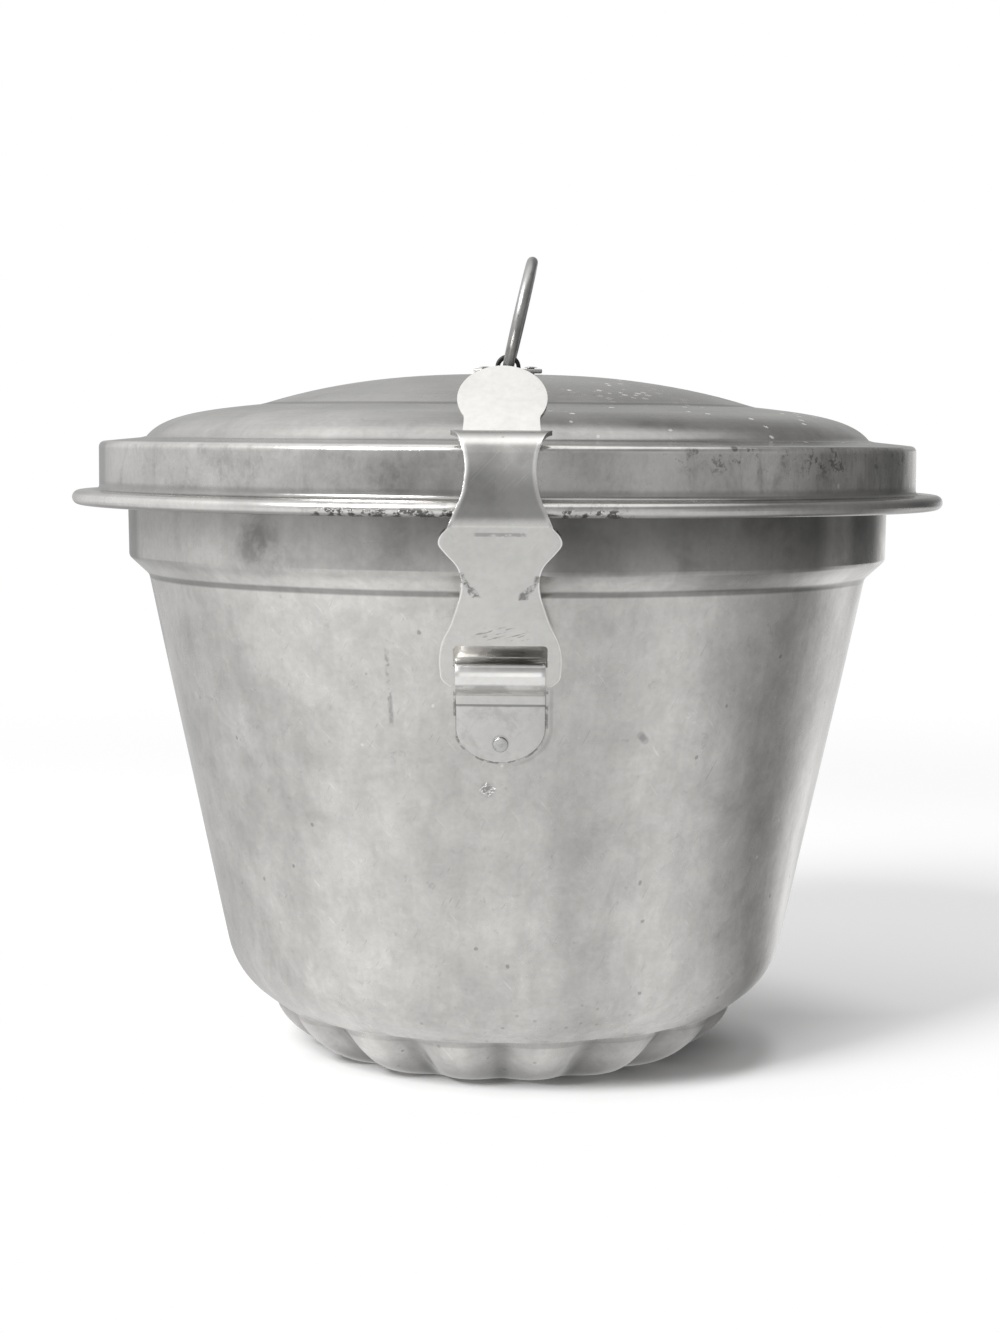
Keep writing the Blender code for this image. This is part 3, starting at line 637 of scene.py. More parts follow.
class Paint(Nodes):
    """One material, and what has been made so far of its tone, roughness and height."""

    def __init__(self, name, colour, roughness, metallic=1.0):
        self.material = bpy.data.materials.new(name)
        self.material.use_nodes = True
        super().__init__(self.material.node_tree, "Object")
        self.shader = self.tree.nodes["Principled BSDF"]
        self.shader.inputs["Metallic"].default_value = metallic
        self.colour, self.roughness = colour, roughness
        self.tone, self.height = 1.0, 0.0

    def noise(self, size, detail, rough, distortion=0.0, scale=None, place=None):
        """Noise whose blotches are about size metres wide, over the scale along each axis."""
        place = place or self.place
        if scale:
            place = self.node("ShaderNodeMapping", {"Vector": place, "Scale": scale}).outputs[0]
        settings = {"Vector": place, "Scale": 0.5 / size, "Detail": detail,
                    "Roughness": rough, "Distortion": distortion}
        return self.node("ShaderNodeTexNoise", settings).outputs["Fac"]

    def ragged(self, amount, size):
        """The object's place pushed about by noise, for marks with uneven outlines."""
        push = self.node("ShaderNodeTexNoise", {"Vector": self.place, "Scale": 0.5 / size, "Detail": 3.0})
        centred = self.vector("SUBTRACT", push.outputs["Color"], (0.5, 0.5, 0.5))
        return self.vector("ADD", self.place, self.vector("MULTIPLY", centred, (amount, amount, amount)))

    def specks(self, apart, size, share):
        """Uneven spots about size metres wide, in a share of the cells that they are laid out in."""
        cells = self.node("ShaderNodeTexVoronoi", {"Vector": self.ragged(size, size), "Scale": 1 / apart})
        chosen = self.node("ShaderNodeSeparateColor", {0: cells.outputs["Color"]}).outputs[0]
        return self.both((cells.outputs["Distance"], 0.6 * size / apart, 0.35 * size / apart),
                         self.math("LESS_THAN", chosen, share))

    def strokes(self, rotation, size, low, high):
        """Marks drawn out along turned axes: size is their length along each of the three."""
        drawn = self.node("ShaderNodeMapping", {"Vector": self.place, "Rotation": rotation, "Scale": size},
                          vector_type="TEXTURE").outputs[0]
        settings = {"Vector": drawn, "Scale": 1.0, "Detail": 2.0, "Roughness": 0.5}
        return self.spread(self.node("ShaderNodeTexNoise", settings).outputs["Fac"], low, high)

    def vary(self, low, high, value):
        """Multiplies the colour by a value spread between two factors."""
        self.tone = self.math("MULTIPLY", self.tone, self.spread(value, *MIDDLE_OF_NOISE, low, high))

    def shade(self, *rows):
        """Multiplies the colour by each row's first number where all of the row's masks are 1."""
        for factor, *masks in rows:
            share = self.math("MULTIPLY_ADD", self.both(*masks), factor - 1.0, 1.0)
            self.tone = self.math("MULTIPLY", self.tone, share)

    def dull(self, amount, *masks):
        """Adds to the roughness where all the masks are 1."""
        self.roughness = self.math("MULTIPLY_ADD", self.both(*masks), amount, self.roughness)

    def raise_by(self, amount, *masks):
        """Adds to the height that the bump is made from, in metres."""
        self.height = self.math("MULTIPLY_ADD", self.both(*masks), amount, self.height)

    def finished(self):
        """Joins tone, roughness and height to the shader."""
        toned = self.node("ShaderNodeVectorMath", {0: self.colour, "Scale": self.tone}, operation="SCALE")
        self.feed(self.shader.inputs["Base Color"], toned.outputs[0])
        self.feed(self.shader.inputs["Roughness"], self.roughness)
        if self.height:
            bump = self.node("ShaderNodeBump", {"Height": self.height, "Distance": 1.0, "Strength": 1.0})
            self.feed(self.shader.inputs["Normal"], bump.outputs[0])
        return self.material


def aged(name):
    """A metal's paint, with the clouding, mottling and grain that all the old metal shares."""
    colour, roughness, clouding, grain = FINISHES[name]
    paint = Paint(name, colour, roughness)
    paint.vary(1 - clouding, 1 + clouding, paint.noise(0.030, 3, 0.5, 0.4))
    paint.vary(1 - grain, 1 + grain, paint.noise(0.006, 5, 0.65))
    paint.vary(1 - grain / 2, 1 + grain / 2, paint.noise(0.0007, 3, 0.6))
    paint.raise_by(0.000012, paint.noise(0.0009, 4, 0.7))
    paint.raise_by(0.00006, paint.noise(0.008, 3, 0.5))
    paint.dull(0.10, (paint.noise(0.012, 4, 0.6), 0.35, 0.65))
    return paint


def basin_finish():
    """Clouded aluminium with upright streaks, some dirt and painted shade and reflections on the neck,
    painted shade in creases and on the crown, and small knocks.
    """
    paint = aged("basin aluminium")
    near, noise_of, specks = paint.near, paint.noise, paint.specks
    height, turn, cloud = paint.axis("Z"), paint.around(DEGREES), noise_of(0.009, 5, 0.6)
    paint.vary(0.955, 1.035, noise_of(0.0024, 3, 0.6, scale=(1, 1, 0.07)))
    paint.vary(0.985, 1.015, noise_of(0.0009, 3, 0.6, scale=(1, 1, 0.04)))
    paint.vary(0.93, 1.07, noise_of(0.0040, 6, 0.72, 0.6))
    paint.raise_by(0.000004, noise_of(0.0006, 2, 0.5, scale=(0.02, 0.02, 1)))

    # Neck: painted shade under the lid's flange, above the step's edge, right of the clip and at its left
    # edge
    neck = paint.between(height, neck_foot + 0.0004, rim_height, 0.0012)
    upper = paint.spread(height, neck_foot, neck_foot + 0.010)
    right = paint.both((turn, 3, 9), (turn, 74, 54))
    blotch = paint.both(near((-0.048, -0.068, 0.114), 0.012), (cloud, 0.4, 0.55))
    paint.shade(
        (0.66, neck, upper),
        (0.80, (height, wall_top + 0.0016, wall_top + 0.0036)),
        (0.66, neck, right),
        (0.86, neck, upper, right),
        (0.50, neck, (turn, -90, -71, 4)),
        # Painted reflections brighten the neck further right and at its right edge
        (1.90, neck, (turn, 53, 57, 4)),
        (1.70, neck, (turn, 72, 90, 4)),
        (0.86, neck, (cloud, 0.5, 0.62)),
        (0.56, blotch, (noise_of(0.0016, 6, 0.75), 0.35, 0.62, 0.5, 1)),
    )

    # Painted shade in the crease at the step's foot, under the shoulder's lip and in the crown's valleys
    off_valley = paint.math("PINGPONG", turn, 180 / LOBES)
    crown = paint.spread(height, lip_height, lip_height - 0.002)
    paint.shade(
        (0.50, (height, wall_top - 0.0003, wall_top + 0.0003, 0.0006)),
        (0.78, (height, lip_height - 0.0013, lip_height - 0.0004, 0.0005), (cloud, 0.35, 0.55, 0.4, 1)),
        (0.68, crown, (off_valley, 10, 0)),
        (0.74, crown, (off_valley, 4, 0.5)),
        # Painted highlight on the middle of each lobe
        (1.10, crown, (off_valley, 6, 11)),
        # Painted shade on the crown's right, where it sees the mould's shadow, and on the lobes' bottoms
        (0.74, crown, (turn, 40, 90, 22)),
        (0.40, (height, 0.0075, 0.0005)),
        # Painted reflection: lighter low on the front of the wall
        (1.10, (height, 0.014, 0.036, 0.012), (turn, -8, 24, 12)),
    )

    # Wall: clouds, a dull one at the left, an oval stain, a knock below the tongue, a drip, specks, scratches
    wall = paint.spread(height, wall_top, wall_top - 0.004)
    knock = paint.both(near(on_wall(-2, 0.0664), 0.0022), (noise_of(0.0014, 5, 0.8), 0.44, 0.56))
    drip = paint.both((turn, -17.2, -16.9, 0.4), (height, 0.080, 0.093, 0.002))
    paint.raise_by(-0.0003, knock)
    paint.shade(
        (0.93, wall, (noise_of(0.014, 5, 0.65, 0.8), 0.52, 0.64)),
        (0.84, near(on_wall(-46, 0.074), 0.030, (1, 1, 0.7)), (cloud, 0.35, 0.6)),
        (0.90, wall, near(on_wall(-12, 0.100), 0.016), (cloud, 0.4, 0.6)),
        *((0.80, (near(on_wall(*spot), 0.0013), 0.05, 0.60)) for spot in OVAL_STAIN),
        (0.55, knock),
        (1.45, near(on_wall(52.9, 0.0487), 0.0006)),
        (0.66, wall, specks(0.0055, 0.0009, 0.30)),
        (0.86, wall, (noise_of(0.0022, 6, 0.85), 0.60, 0.66)),
        (1.10, wall, (noise_of(0.0013, 6, 0.85), 0.61, 0.66)),
        (0.66, drip, (noise_of(0.0016, 4, 0.7), 0.44, 0.58)),
        (1.22, wall, specks(0.0070, 0.0008, 0.12)),
        (0.78, (height, 0.034, 0.014), specks(0.0032, 0.0009, 0.30)),
        (0.80, wall, paint.strokes((0, 0.5, 0), (0.0003, 0.002, 0.006), 0.70, 0.74)),
        (1.13, wall, paint.strokes((0, -0.7, 0.3), (0.0004, 0.002, 0.009), 0.69, 0.73)),
    )

    # Painted shade round the tongue of each bracket, blotched with dirt, and the mark its edge has rubbed
    # beside it
    low = hinge_height + (ROLL_BORE + STRAP_SHEET / 2) * sin(wall_lean)
    low -= (TONGUE_LENGTH - TONGUE_ROUND) * cos(wall_lean)
    across = paint.math("DIVIDE", paint.axis("X"), BRACKET_WIDTH / 2)
    down = paint.math("DIVIDE", paint.math("MAXIMUM", paint.math("SUBTRACT", low, height), 0.0), TONGUE_ROUND)
    outline = paint.vector("LENGTH", paint.node("ShaderNodeCombineXYZ", {0: across, 1: down}).outputs[0])
    wall_face = paint.math("MULTIPLY_ADD", height, tan(wall_lean), wall_radius(0))
    inward = paint.math("SUBTRACT", wall_face, paint.distance(scale=(1, 1, 0)))
    beside = paint.both((inward, 0.0006, 0.0003), (height, 0.064, hinge_height - 0.004, 0.002))
    paint.shade(
        (0.60, beside, (outline, 0.95, 1.01, 0.03)),
        (0.50, beside, (outline, 0.98, 1.05, 0.04), (noise_of(0.0012, 4, 0.7), 0.50, 0.58)),
        (0.86, beside, (outline, 1.13, 1.16, 0.05), (turn, 0, 5)),
    )
    return paint.finished()


def lid_finish():
    """Darker, brushed and pitted aluminium with stains on the band, corrosion under it, and painted shade and
    highlights.
    """
    paint = aged("lid aluminium")
    noise_of, specks = paint.noise, paint.specks
    height, turn, out = paint.axis("Z"), paint.around(DEGREES), paint.distance(scale=(1, 1, 0))
    over_bead = paint.math("SUBTRACT", height, flange_bead_z)
    past_band = paint.math("SUBTRACT", out, band_radius)
    past_dome = paint.math("SUBTRACT", out, dome_foot_radius)
    cloud = noise_of(0.007, 5, 0.65)

    # Dome: turning rings, painted shade on the crease, middle and front slope, white specks right of the clip
    rings = paint.node("ShaderNodeCombineXYZ", {"X": out}).outputs[0]
    paint.vary(0.96, 1.04, noise_of(0.0007, 2, 0.6, place=rings))
    paint.vary(0.96, 1.04, noise_of(0.0030, 2, 0.6, place=rings))
    paint.raise_by(0.000005, noise_of(0.0005, 2, 0.5, place=rings))
    dome = paint.spread(past_dome, 0.004, 0)
    cluster = paint.both(paint.near((0.024, -0.034, 0.146), 0.020), specks(0.0026, 0.0016, 0.55))
    white = paint.both(dome, (paint.axis("Y"), 0.01, -0.02), (paint.axis("X"), 0.004, 0.014),
                       paint.either(specks(0.0040, 0.0013, 0.42), cluster))
    paint.dull(0.3, white)
    paint.shade(
        (0.55, dome, (out, STEP_RADIUS - 0.0012, STEP_RADIUS + 0.0004, 0.0007)),
        (0.90, dome, (cloud, 0.5, 0.64)),
        (0.86, (out, 0.070, 0.058)),
        (0.78, dome, (past_dome, -0.010, 0, 0.004), (turn, -14, 24, 16)),
        (1.80, white),
        (1.30, dome, specks(0.0060, 0.0008, 0.25)),
        (0.75, dome, specks(0.0040, 0.0007, 0.25)),
    )

    # Band: stains drawn down it, thicker to the right, and a darker stretch beside the clip
    band = paint.both((past_band, -0.0006, -0.0003), (over_bead, 0.0025, 0.0035))
    upright = noise_of(0.0026, 5, 0.7, 0.5, (1, 1, 0.35))
    right = paint.between(turn, 30, 110, 18)
    eaten_band = paint.both(band, right, (over_bead, 0.004, 0.008), (cloud, 0.42, 0.56))
    paint.raise_by(-0.00002, band, upright)
    paint.shade(
        (0.86, band, (upright, 0.48, 0.70)),
        (0.86, band, right, (upright, 0.42, 0.66)),
        (0.80, band, (noise_of(0.0040, 6, 0.75), 0.50, 0.68)),
        (0.46, eaten_band, (noise_of(0.0014, 6, 0.8), 0.53, 0.58)),
        (1.45, band, right, specks(0.0050, 0.0009, 0.30)),
        (0.86, band, (turn, -16, -8, 9)),
        (0.92, band, (over_bead, 0.008, 0.002)),
        # Painted shade at the band's left edge and a painted reflection at its right edge
        (0.60, band, (turn, -90, -72, 3)),
        (1.60, band, (turn, 70, 90, 3)),
    )

    # Ledge, darker beside the corner, and along the band's corner a painted highlight that knocks have broken
    ledge = paint.both((past_dome, 0.0004, 0.0012), (past_band, -0.0012, -0.0020))
    corner = paint.both((height, lid_ledge - 0.0016, lid_ledge - 0.0006), (past_band, -0.002, -0.001))
    paint.shade(
        (0.74, ledge, (height, lid_ledge - 0.001, lid_ledge - 0.0002)),
        (1.25, corner),
        (0.45, corner, specks(0.0040, 0.0016, 0.45), (turn, 10, 25)),
    )

    # Flange: corroded under its bead on both sides of the clip; painted shade in the fillet above, at right
    # and below
    flange = paint.spread(over_bead, 0.0022, 0.0014)
    front = paint.both((over_bead, -0.0005, 0.0007, 0.0005), (past_band, 0.002, 0.003))
    under = paint.spread(over_bead, 0.0003, -0.0003)
    eaten = paint.both(flange, paint.either((turn, -21, -6, 3), (turn, 7, 13, 3)),
                       (noise_of(0.0011, 6, 0.75), 0.50, 0.55))
    paint.raise_by(-0.00004, eaten, under)
    paint.shade(
        (0.66, (over_bead, 0.0040, 0.0028), (past_band, -0.0010, 0.0012, 0.0006)),
        # Painted highlight on the bead's front, shaded to the right
        (1.30, front),
        (0.66, front, right),
        (0.70, flange, (turn, 66, 100, 10)),
        (0.62, flange, (over_bead, -0.0006, -0.0012)),
        (0.22, eaten, (under, 0, 1, 0.20, 1)),
        (0.60, flange, specks(0.0050, 0.0010, 0.30)),
    )
    return paint.finished()


def clip_finish():
    """Polished, worn sheet: painted shade and highlights, a few scratches, dark wear beside the waist and in
    the crease.
    """
    paint = aged("clip aluminium")
    noise_of, strokes = paint.noise, paint.strokes
    height, aside = paint.axis("Z"), paint.math("ABSOLUTE", paint.axis("X"))
    over_bead = paint.math("SUBTRACT", height, flange_bead_z)
    over_ledge = paint.math("SUBTRACT", height, lid_ledge)
    inset = paint.node("ShaderNodeAttribute", attribute_name="inset").outputs["Fac"]
    upper = paint.both((over_bead, -0.0026, -0.0010), (over_ledge, 0.0016, -0.0010))
    outside = paint.spread(paint.math("ABSOLUTE", paint.axis("Y")), 0.0880, 0.0890)
    rim = paint.spread(inset, 0.00040, 0.00015)
    lines = strokes((0, 0.75, 0), (0.00022, 0.004, 0.008), 0.66, 0.70)
    ragged = paint.node("ShaderNodeSeparateXYZ", {0: paint.ragged(0.0022, 0.0008)}).outputs
    slant = paint.math("SUBTRACT", paint.math("ABSOLUTE", ragged["X"]),
                       paint.spread(ragged["Z"], 0.1048, 0.1100, 0.0044, 0.0074))
    wear = paint.both((ragged["Z"], 0.1052, 0.1096, 0.0004), (paint.math("ABSOLUTE", slant), 0.0010, 0.0004),
                      (noise_of(0.0008, 5, 0.8), 0.44, 0.56, 0.15, 1.0))
    crease_line = paint.both((height, 0.1172, 0.1176, 0.0003), (aside, 0.0052, 0.0042))
    over_window = paint.both((height, 0.0972, 0.0990, 0.0008), (aside, 0.0060, 0.0040))
    paint.dull(0.25, wear)
    # Painted shade down the upper strap and on the hook's top, painted highlights near the crease, on the
    # hook's bend and along the edges
    paint.shade(
        (0.86, upper),
        (0.52, upper, (height, lid_ledge - 0.0010, flange_bead_z + 0.0030)),
        (1.20, upper, (over_bead, -0.0004, -0.0020)),
        (0.55, outside, (over_ledge, 0.0012, 0.0022)),
        (1.15, outside, (over_ledge, -0.0010, 0.0010, 0.0006)),
        (1.80, upper, (inset, 0.0010, 0.0003)),
        (1.22, outside, rim),
        (1.22, rim, (height, 0.118, 0.116)),
        (1.25, upper, lines),
        (1.06, lines, (noise_of(0.010, 2, 0.5), 0.54, 0.60)),
        (0.84, strokes((0, -0.25, 0), (0.00025, 0.004, 0.008), 0.72, 0.76)),
        (0.66, crease_line, (noise_of(0.0012, 3, 0.6), 0.34, 0.46)),
        (0.42, wear),
        (0.66, over_window, strokes((0, 1.3, 0), (0.0003, 0.003, 0.0022), 0.58, 0.62)),
        (0.72, paint.specks(0.0050, 0.0006, 0.20)),
    )
    return paint.finished()


def bracket_finish():
    """Sheet with a painted highlight on the roll, dull scuffs on its lower half and a flush rivet in the
    tongue.
    """
    paint = aged("bracket aluminium")
    over_hinge = paint.math("SUBTRACT", paint.axis("Z"), hinge_height)
    scuffed = paint.both((over_hinge, -0.0036, -0.0020, 0.0004),
                         (paint.noise(0.0022, 5, 0.7, 0.5, (0.5, 1, 1)), 0.40, 0.58))
    tongue = paint.spread(over_hinge, -0.0062, -0.0066)
    off_rivet = paint.distance((0, 0, rivet_height()), (1, 0, 1))
    paint.dull(0.25, scuffed)
    paint.dull(0.10, tongue)
    paint.shade(
        # Painted highlight across the roll
        (1.34, (over_hinge, -0.0014, 0.0010, 0.0006)),
        (0.74, scuffed),
        # Painted shadow under the end of the leaf
        (0.50, (over_hinge, -0.0065, -0.0061, 0.0002)),
        (0.84, tongue, (paint.noise(0.0030, 6, 0.75, 0.6), 0.48, 0.66)),
        (0.75, tongue, paint.specks(0.0040, 0.0007, 0.30)),
        (0.86, (off_rivet, RIVET_HEAD - 0.0001, RIVET_HEAD + 0.0001, 0.00025)),
    )
    return paint.finished()


def ring_finish():
    """Dull steel wire, darker in blotches and spots."""
    paint = aged("ring steel")
    paint.shade(
        (0.68, (paint.noise(0.0030, 5, 0.7), 0.50, 0.66)),
        (0.60, paint.specks(0.0020, 0.0006, 0.4)),
    )
    paint.raise_by(0.00002, paint.noise(0.0004, 4, 0.7))
    return paint.finished()


def saddle_finish():
    """Strap that is black inside its loop and over it, from painted shade and dirt, and as grey as the lid at
    its feet.
    """
    paint = aged("saddle steel")
    aside = paint.math("ABSOLUTE", paint.axis("X"))
    paint.shade(
        # Painted shade with dirt: black inside and over the loop
        (0.07, (aside, saddle_leg + 0.0012, saddle_leg + 0.0006)),
        (2.40, paint.specks(0.0016, 0.0007, 0.25)),
    )
    paint.raise_by(0.00004, paint.noise(0.0006, 4, 0.7))
    return paint.finished()


def rivet_finish():
    """Hammered rivet of the bracket's aluminium, dirty round its head."""
    paint = aged("rivet aluminium")
    paint.shade((0.82, (paint.noise(0.0010, 4, 0.7), 0.50, 0.62)))
    paint.raise_by(0.00006, paint.noise(0.0007, 3, 0.6))
    return paint.finished()


def crown_curve(top_in, foot_in, fullness):
    """Bulging outer face of the crown, from under the wall's lip to the ring that it rests on."""
    foot = REST_RING_OUTER - foot_in
    reach = crown_top_radius - top_in - foot
    points = []
    for turn in quarter_turn(CROWN_STEPS):
        out, down = cos(turn) ** (2 / fullness), sin(turn) ** (2 / fullness)
        points.append((foot + reach * out, (lip_height - LIP_DROP) * (1 - down), 0))
    return points


def basin_path(top_in, foot_in, fullness):
    """Outer face of the basin, from the end of the rim's curl down to the hole in the floor."""
    curl = RIM_BEAD - SHEET
    bead = (neck_radius + curl, rim_height - RIM_BEAD)
    corners = [
        (neck_radius, bead[1], 0),
        (neck_radius - NECK_TAPER, neck_foot, NECK_CORNER_ROUND),
        (wall_top_radius, wall_top, STEP_ROUND),
        (WALL_FOOT_RADIUS, WALL_FOOT, SHOULDER_ROUND),
        (crown_top_radius, lip_height, LIP_ROUND),
        *crown_curve(top_in, foot_in, fullness),
        (REST_RING_INNER, 0, REST_RING_ROUND),
        (HUB_RADIUS, HUB_RISE, HUB_ROUND),
        (TUBE_FOOT_RADIUS + FIT, HUB_RISE, 0),
    ]
    return arc(bead, curl, RIM_CURL_END, pi, 3 * CORNER_STEPS)[:-1] + rounded(corners)


def basin_shift(angle, _, z):
    """Slight unevenness of the hand-turned wall."""
    amount = BASIN_WAVE * smoothstep(*BASIN_WAVE_FROM, z) * (1 - smoothstep(neck_foot, rim_height, z))
    spot = Vector((sin(angle) * BASIN_WAVES_ROUND, cos(angle) * BASIN_WAVES_ROUND, z * BASIN_WAVES_UP))
    return noise.noise(spot) * amount, 0.0


def basin_shape():
    """Basin shell, whose section eases from broad lobe to narrow valley and back round the crown."""
    lobe = basin_path(LOBE_TOP_IN, 0, LOBE_FULLNESS)
    valley = basin_path(VALLEY_TOP_IN, VALLEY_FOOT_IN, VALLEY_FULLNESS)
    counts = split_counts(lobe)
    lobe = sheet_section(split(lobe, counts), SHEET)
    valley = sheet_section(split(valley, counts), SHEET)
    steps = SEGMENTS // LOBES

    def section_at(step):
        """The section part of the way from lobe to valley."""
        off_centre = abs((step % steps) / steps * 2 - 1)
        share = off_centre**3 * (4 - 3 * off_centre)
        return [(a[0] + (b[0] - a[0]) * share, a[1] + (b[1] - a[1]) * share) for a, b in zip(lobe, valley)]

    return turned(section_at, SEGMENTS, basin_shift)


def tube_shape():
    """Centre tube with its bead above the floor and flare below."""
    bead_z = floor_top + FIT + TUBE_BEAD
    below = HUB_RISE - FIT
    path = [(TUBE_TOP_RADIUS, rim_height - TUBE_BELOW_RIM)]
    path += arc((TUBE_FOOT_RADIUS, bead_z), TUBE_BEAD, pi / 2, -pi / 2, CORNER_STEPS)
    path += [(TUBE_FOOT_RADIUS, below), (TUBE_FOOT_RADIUS + TUBE_FLARE, below - TUBE_FLARE_DROP)]
    section = sheet_section(path, TUBE_SHEET)
    return turned(lambda step: section, SEGMENTS // 2)


def lid_path():
    """Outer face of the lid, from the axis out over the two steps and down to the rolled flange."""
    inner = STEP_RADIUS - CREASE_WIDTH
    path = []
    for i in range(DOME_STEPS + 1):
        share = i / DOME_STEPS
        path.append((inner * share, crease_height + DOME_RISE * (1 - share**DOME_FULLNESS)))
    start = (STEP_RADIUS, crease_height - CREASE_DEPTH)
    foot = (dome_foot_radius, dome_foot + CREASE_DEPTH)
    half_way = ((STEP_RADIUS + dome_foot_radius) / 2, start[1] - STEP_FALL)
    shoulder = (dome_foot_radius - STEP_SHOULDER_IN, foot[1] + STEP_SHOULDER)
    path += [start] + bezier(start, half_way, shoulder, foot, SLOPE_STEPS)
    slope = atan2(FLANGE_FALL, FLANGE_REACH)
    bead = (flange_bead_r, flange_bead_z)
    start = pi / 2 - slope
    tip = arc(bead, FLANGE_BEAD, start, start - FLANGE_CURL_TURN, 3 * CORNER_STEPS)
    band_foot = tip[0][1] + (tip[0][0] - band_radius) * tan(slope)
    corners = [
        (dome_foot_radius + DOME_FOOT_ROUND, dome_foot, 0),
        (band_radius, lid_ledge, BAND_CORNER_ROUND),
        (band_radius, band_foot, FLANGE_FILLET),
        (*tip[0], 0),
    ]
    return path + rounded(corners) + tip[1:]


def lid_shift(angle, r, z):
    """Slight unevenness of the lid's dome and band."""
    spot = Vector((sin(angle) * r, cos(angle) * r, z)) * LID_WAVES
    wave = noise.noise(spot)
    on_top = 1 - smoothstep(*LID_TOP_ENDS, r)
    on_band = smoothstep(flange_bead_z, lid_ledge, z) * (1 - on_top)
    return wave * LID_SIDE_WAVE * on_band, wave * LID_TOP_WAVE * on_top


def lid_shape():
    """Lid shell."""
    path = lid_path()
    section = sheet_section(split(path, split_counts(path)), SHEET)
    section[-1] = (0, section[-1][1])
    return turned(lambda step: section, SEGMENTS, lid_shift)


def ring_shape():
    """Ring handle: a closed loop of wire."""
    thick = WIRE / 2 - INSIDE_FACETS
    points = []
    faces = []
    lean = Matrix.Rotation(RING_LEAN, 3, "Y")
    for i in range(RING_STEPS):
        around = 2 * pi * i / RING_STEPS
        for j in range(WIRE_STEPS):
            turn = 2 * pi * j / WIRE_STEPS
            reach = RING_RADIUS + thick * cos(turn)
            spot = Vector((thick * sin(turn), reach * sin(around), RING_RADIUS - reach * cos(around)))
            points.append(lean @ spot + Vector((0, 0, ring_pivot)))
            k, m = (i + 1) % RING_STEPS, (j + 1) % WIRE_STEPS
            faces.append((i * WIRE_STEPS + j, k * WIRE_STEPS + j, k * WIRE_STEPS + m, i * WIRE_STEPS + m))
    return points, faces


def saddle_shape():
    """Saddle strap over the ring's wire, with a foot to each side."""
    end = saddle_leg + SADDLE_FOOT
    over = arc((0, ring_pivot), saddle_leg, pi, 0, 4 * CORNER_STEPS)
    left = rounded([
        (-end, saddle_foot_z, 0),
        (-saddle_leg, saddle_foot_z, SADDLE_ROUND),
        (*over[0], 0),
    ])
    path = left + over[1:-1] + [(-x, z) for x, z in reversed(left)]
    places = across(SADDLE_WIDTH / 2, SADDLE_COLUMNS)
    return strap(path, lambda i: places, lambda x, out, up: (out, x, up))


def lengths_of(path):
    """Distance of each point of a path from its start."""
    marks = [0.0]
    for a, b in zip(path, path[1:]):
        marks.append(marks[-1] + dist(a, b))
    return marks


def point_at(path, marks, length):
    """The point of a path at a distance from its start."""
    k = max(i for i, mark in enumerate(marks[:-1]) if mark <= length + SAME_POINT)
    share = (length - marks[k]) / (marks[k + 1] - marks[k])
    return tuple(path[k][n] + (path[k + 1][n] - path[k][n]) * share for n in range(2))


def spaced(needed, total):
    """The needed lengths, filled up with even ones wherever two lie far apart."""
    kept = sorted(needed)
    steps = round(total / STRAP_STEP)
    for i in range(steps + 1):
        value = total * i / steps
        if min(abs(value - k) for k in kept) > STRAP_STEP / 2:
            kept.append(value)
    return sorted(kept)


def smooth_width(outline, share):
    """Half width at a share of the strap, eased between the outline's points."""
    k = max([i for i, (s, _) in enumerate(outline[:-1]) if s <= share] or [0])
    a, b = outline[k], outline[k + 1]
    before = outline[max(k - 1, 0)]
    after = outline[min(k + 2, len(outline) - 1)]
    t = min(max((share - a[0]) / (b[0] - a[0]), 0), 1)
    slope_a = (b[1] - before[1]) / (b[0] - before[0]) * (b[0] - a[0])
    slope_b = (after[1] - a[1]) / (after[0] - a[0]) * (b[0] - a[0])
    return (
        (2 * t**3 - 3 * t**2 + 1) * a[1] + (t**3 - 2 * t**2 + t) * slope_a
        + (3 * t**2 - 2 * t**3) * b[1] + (t**3 - t**2) * slope_b
    )


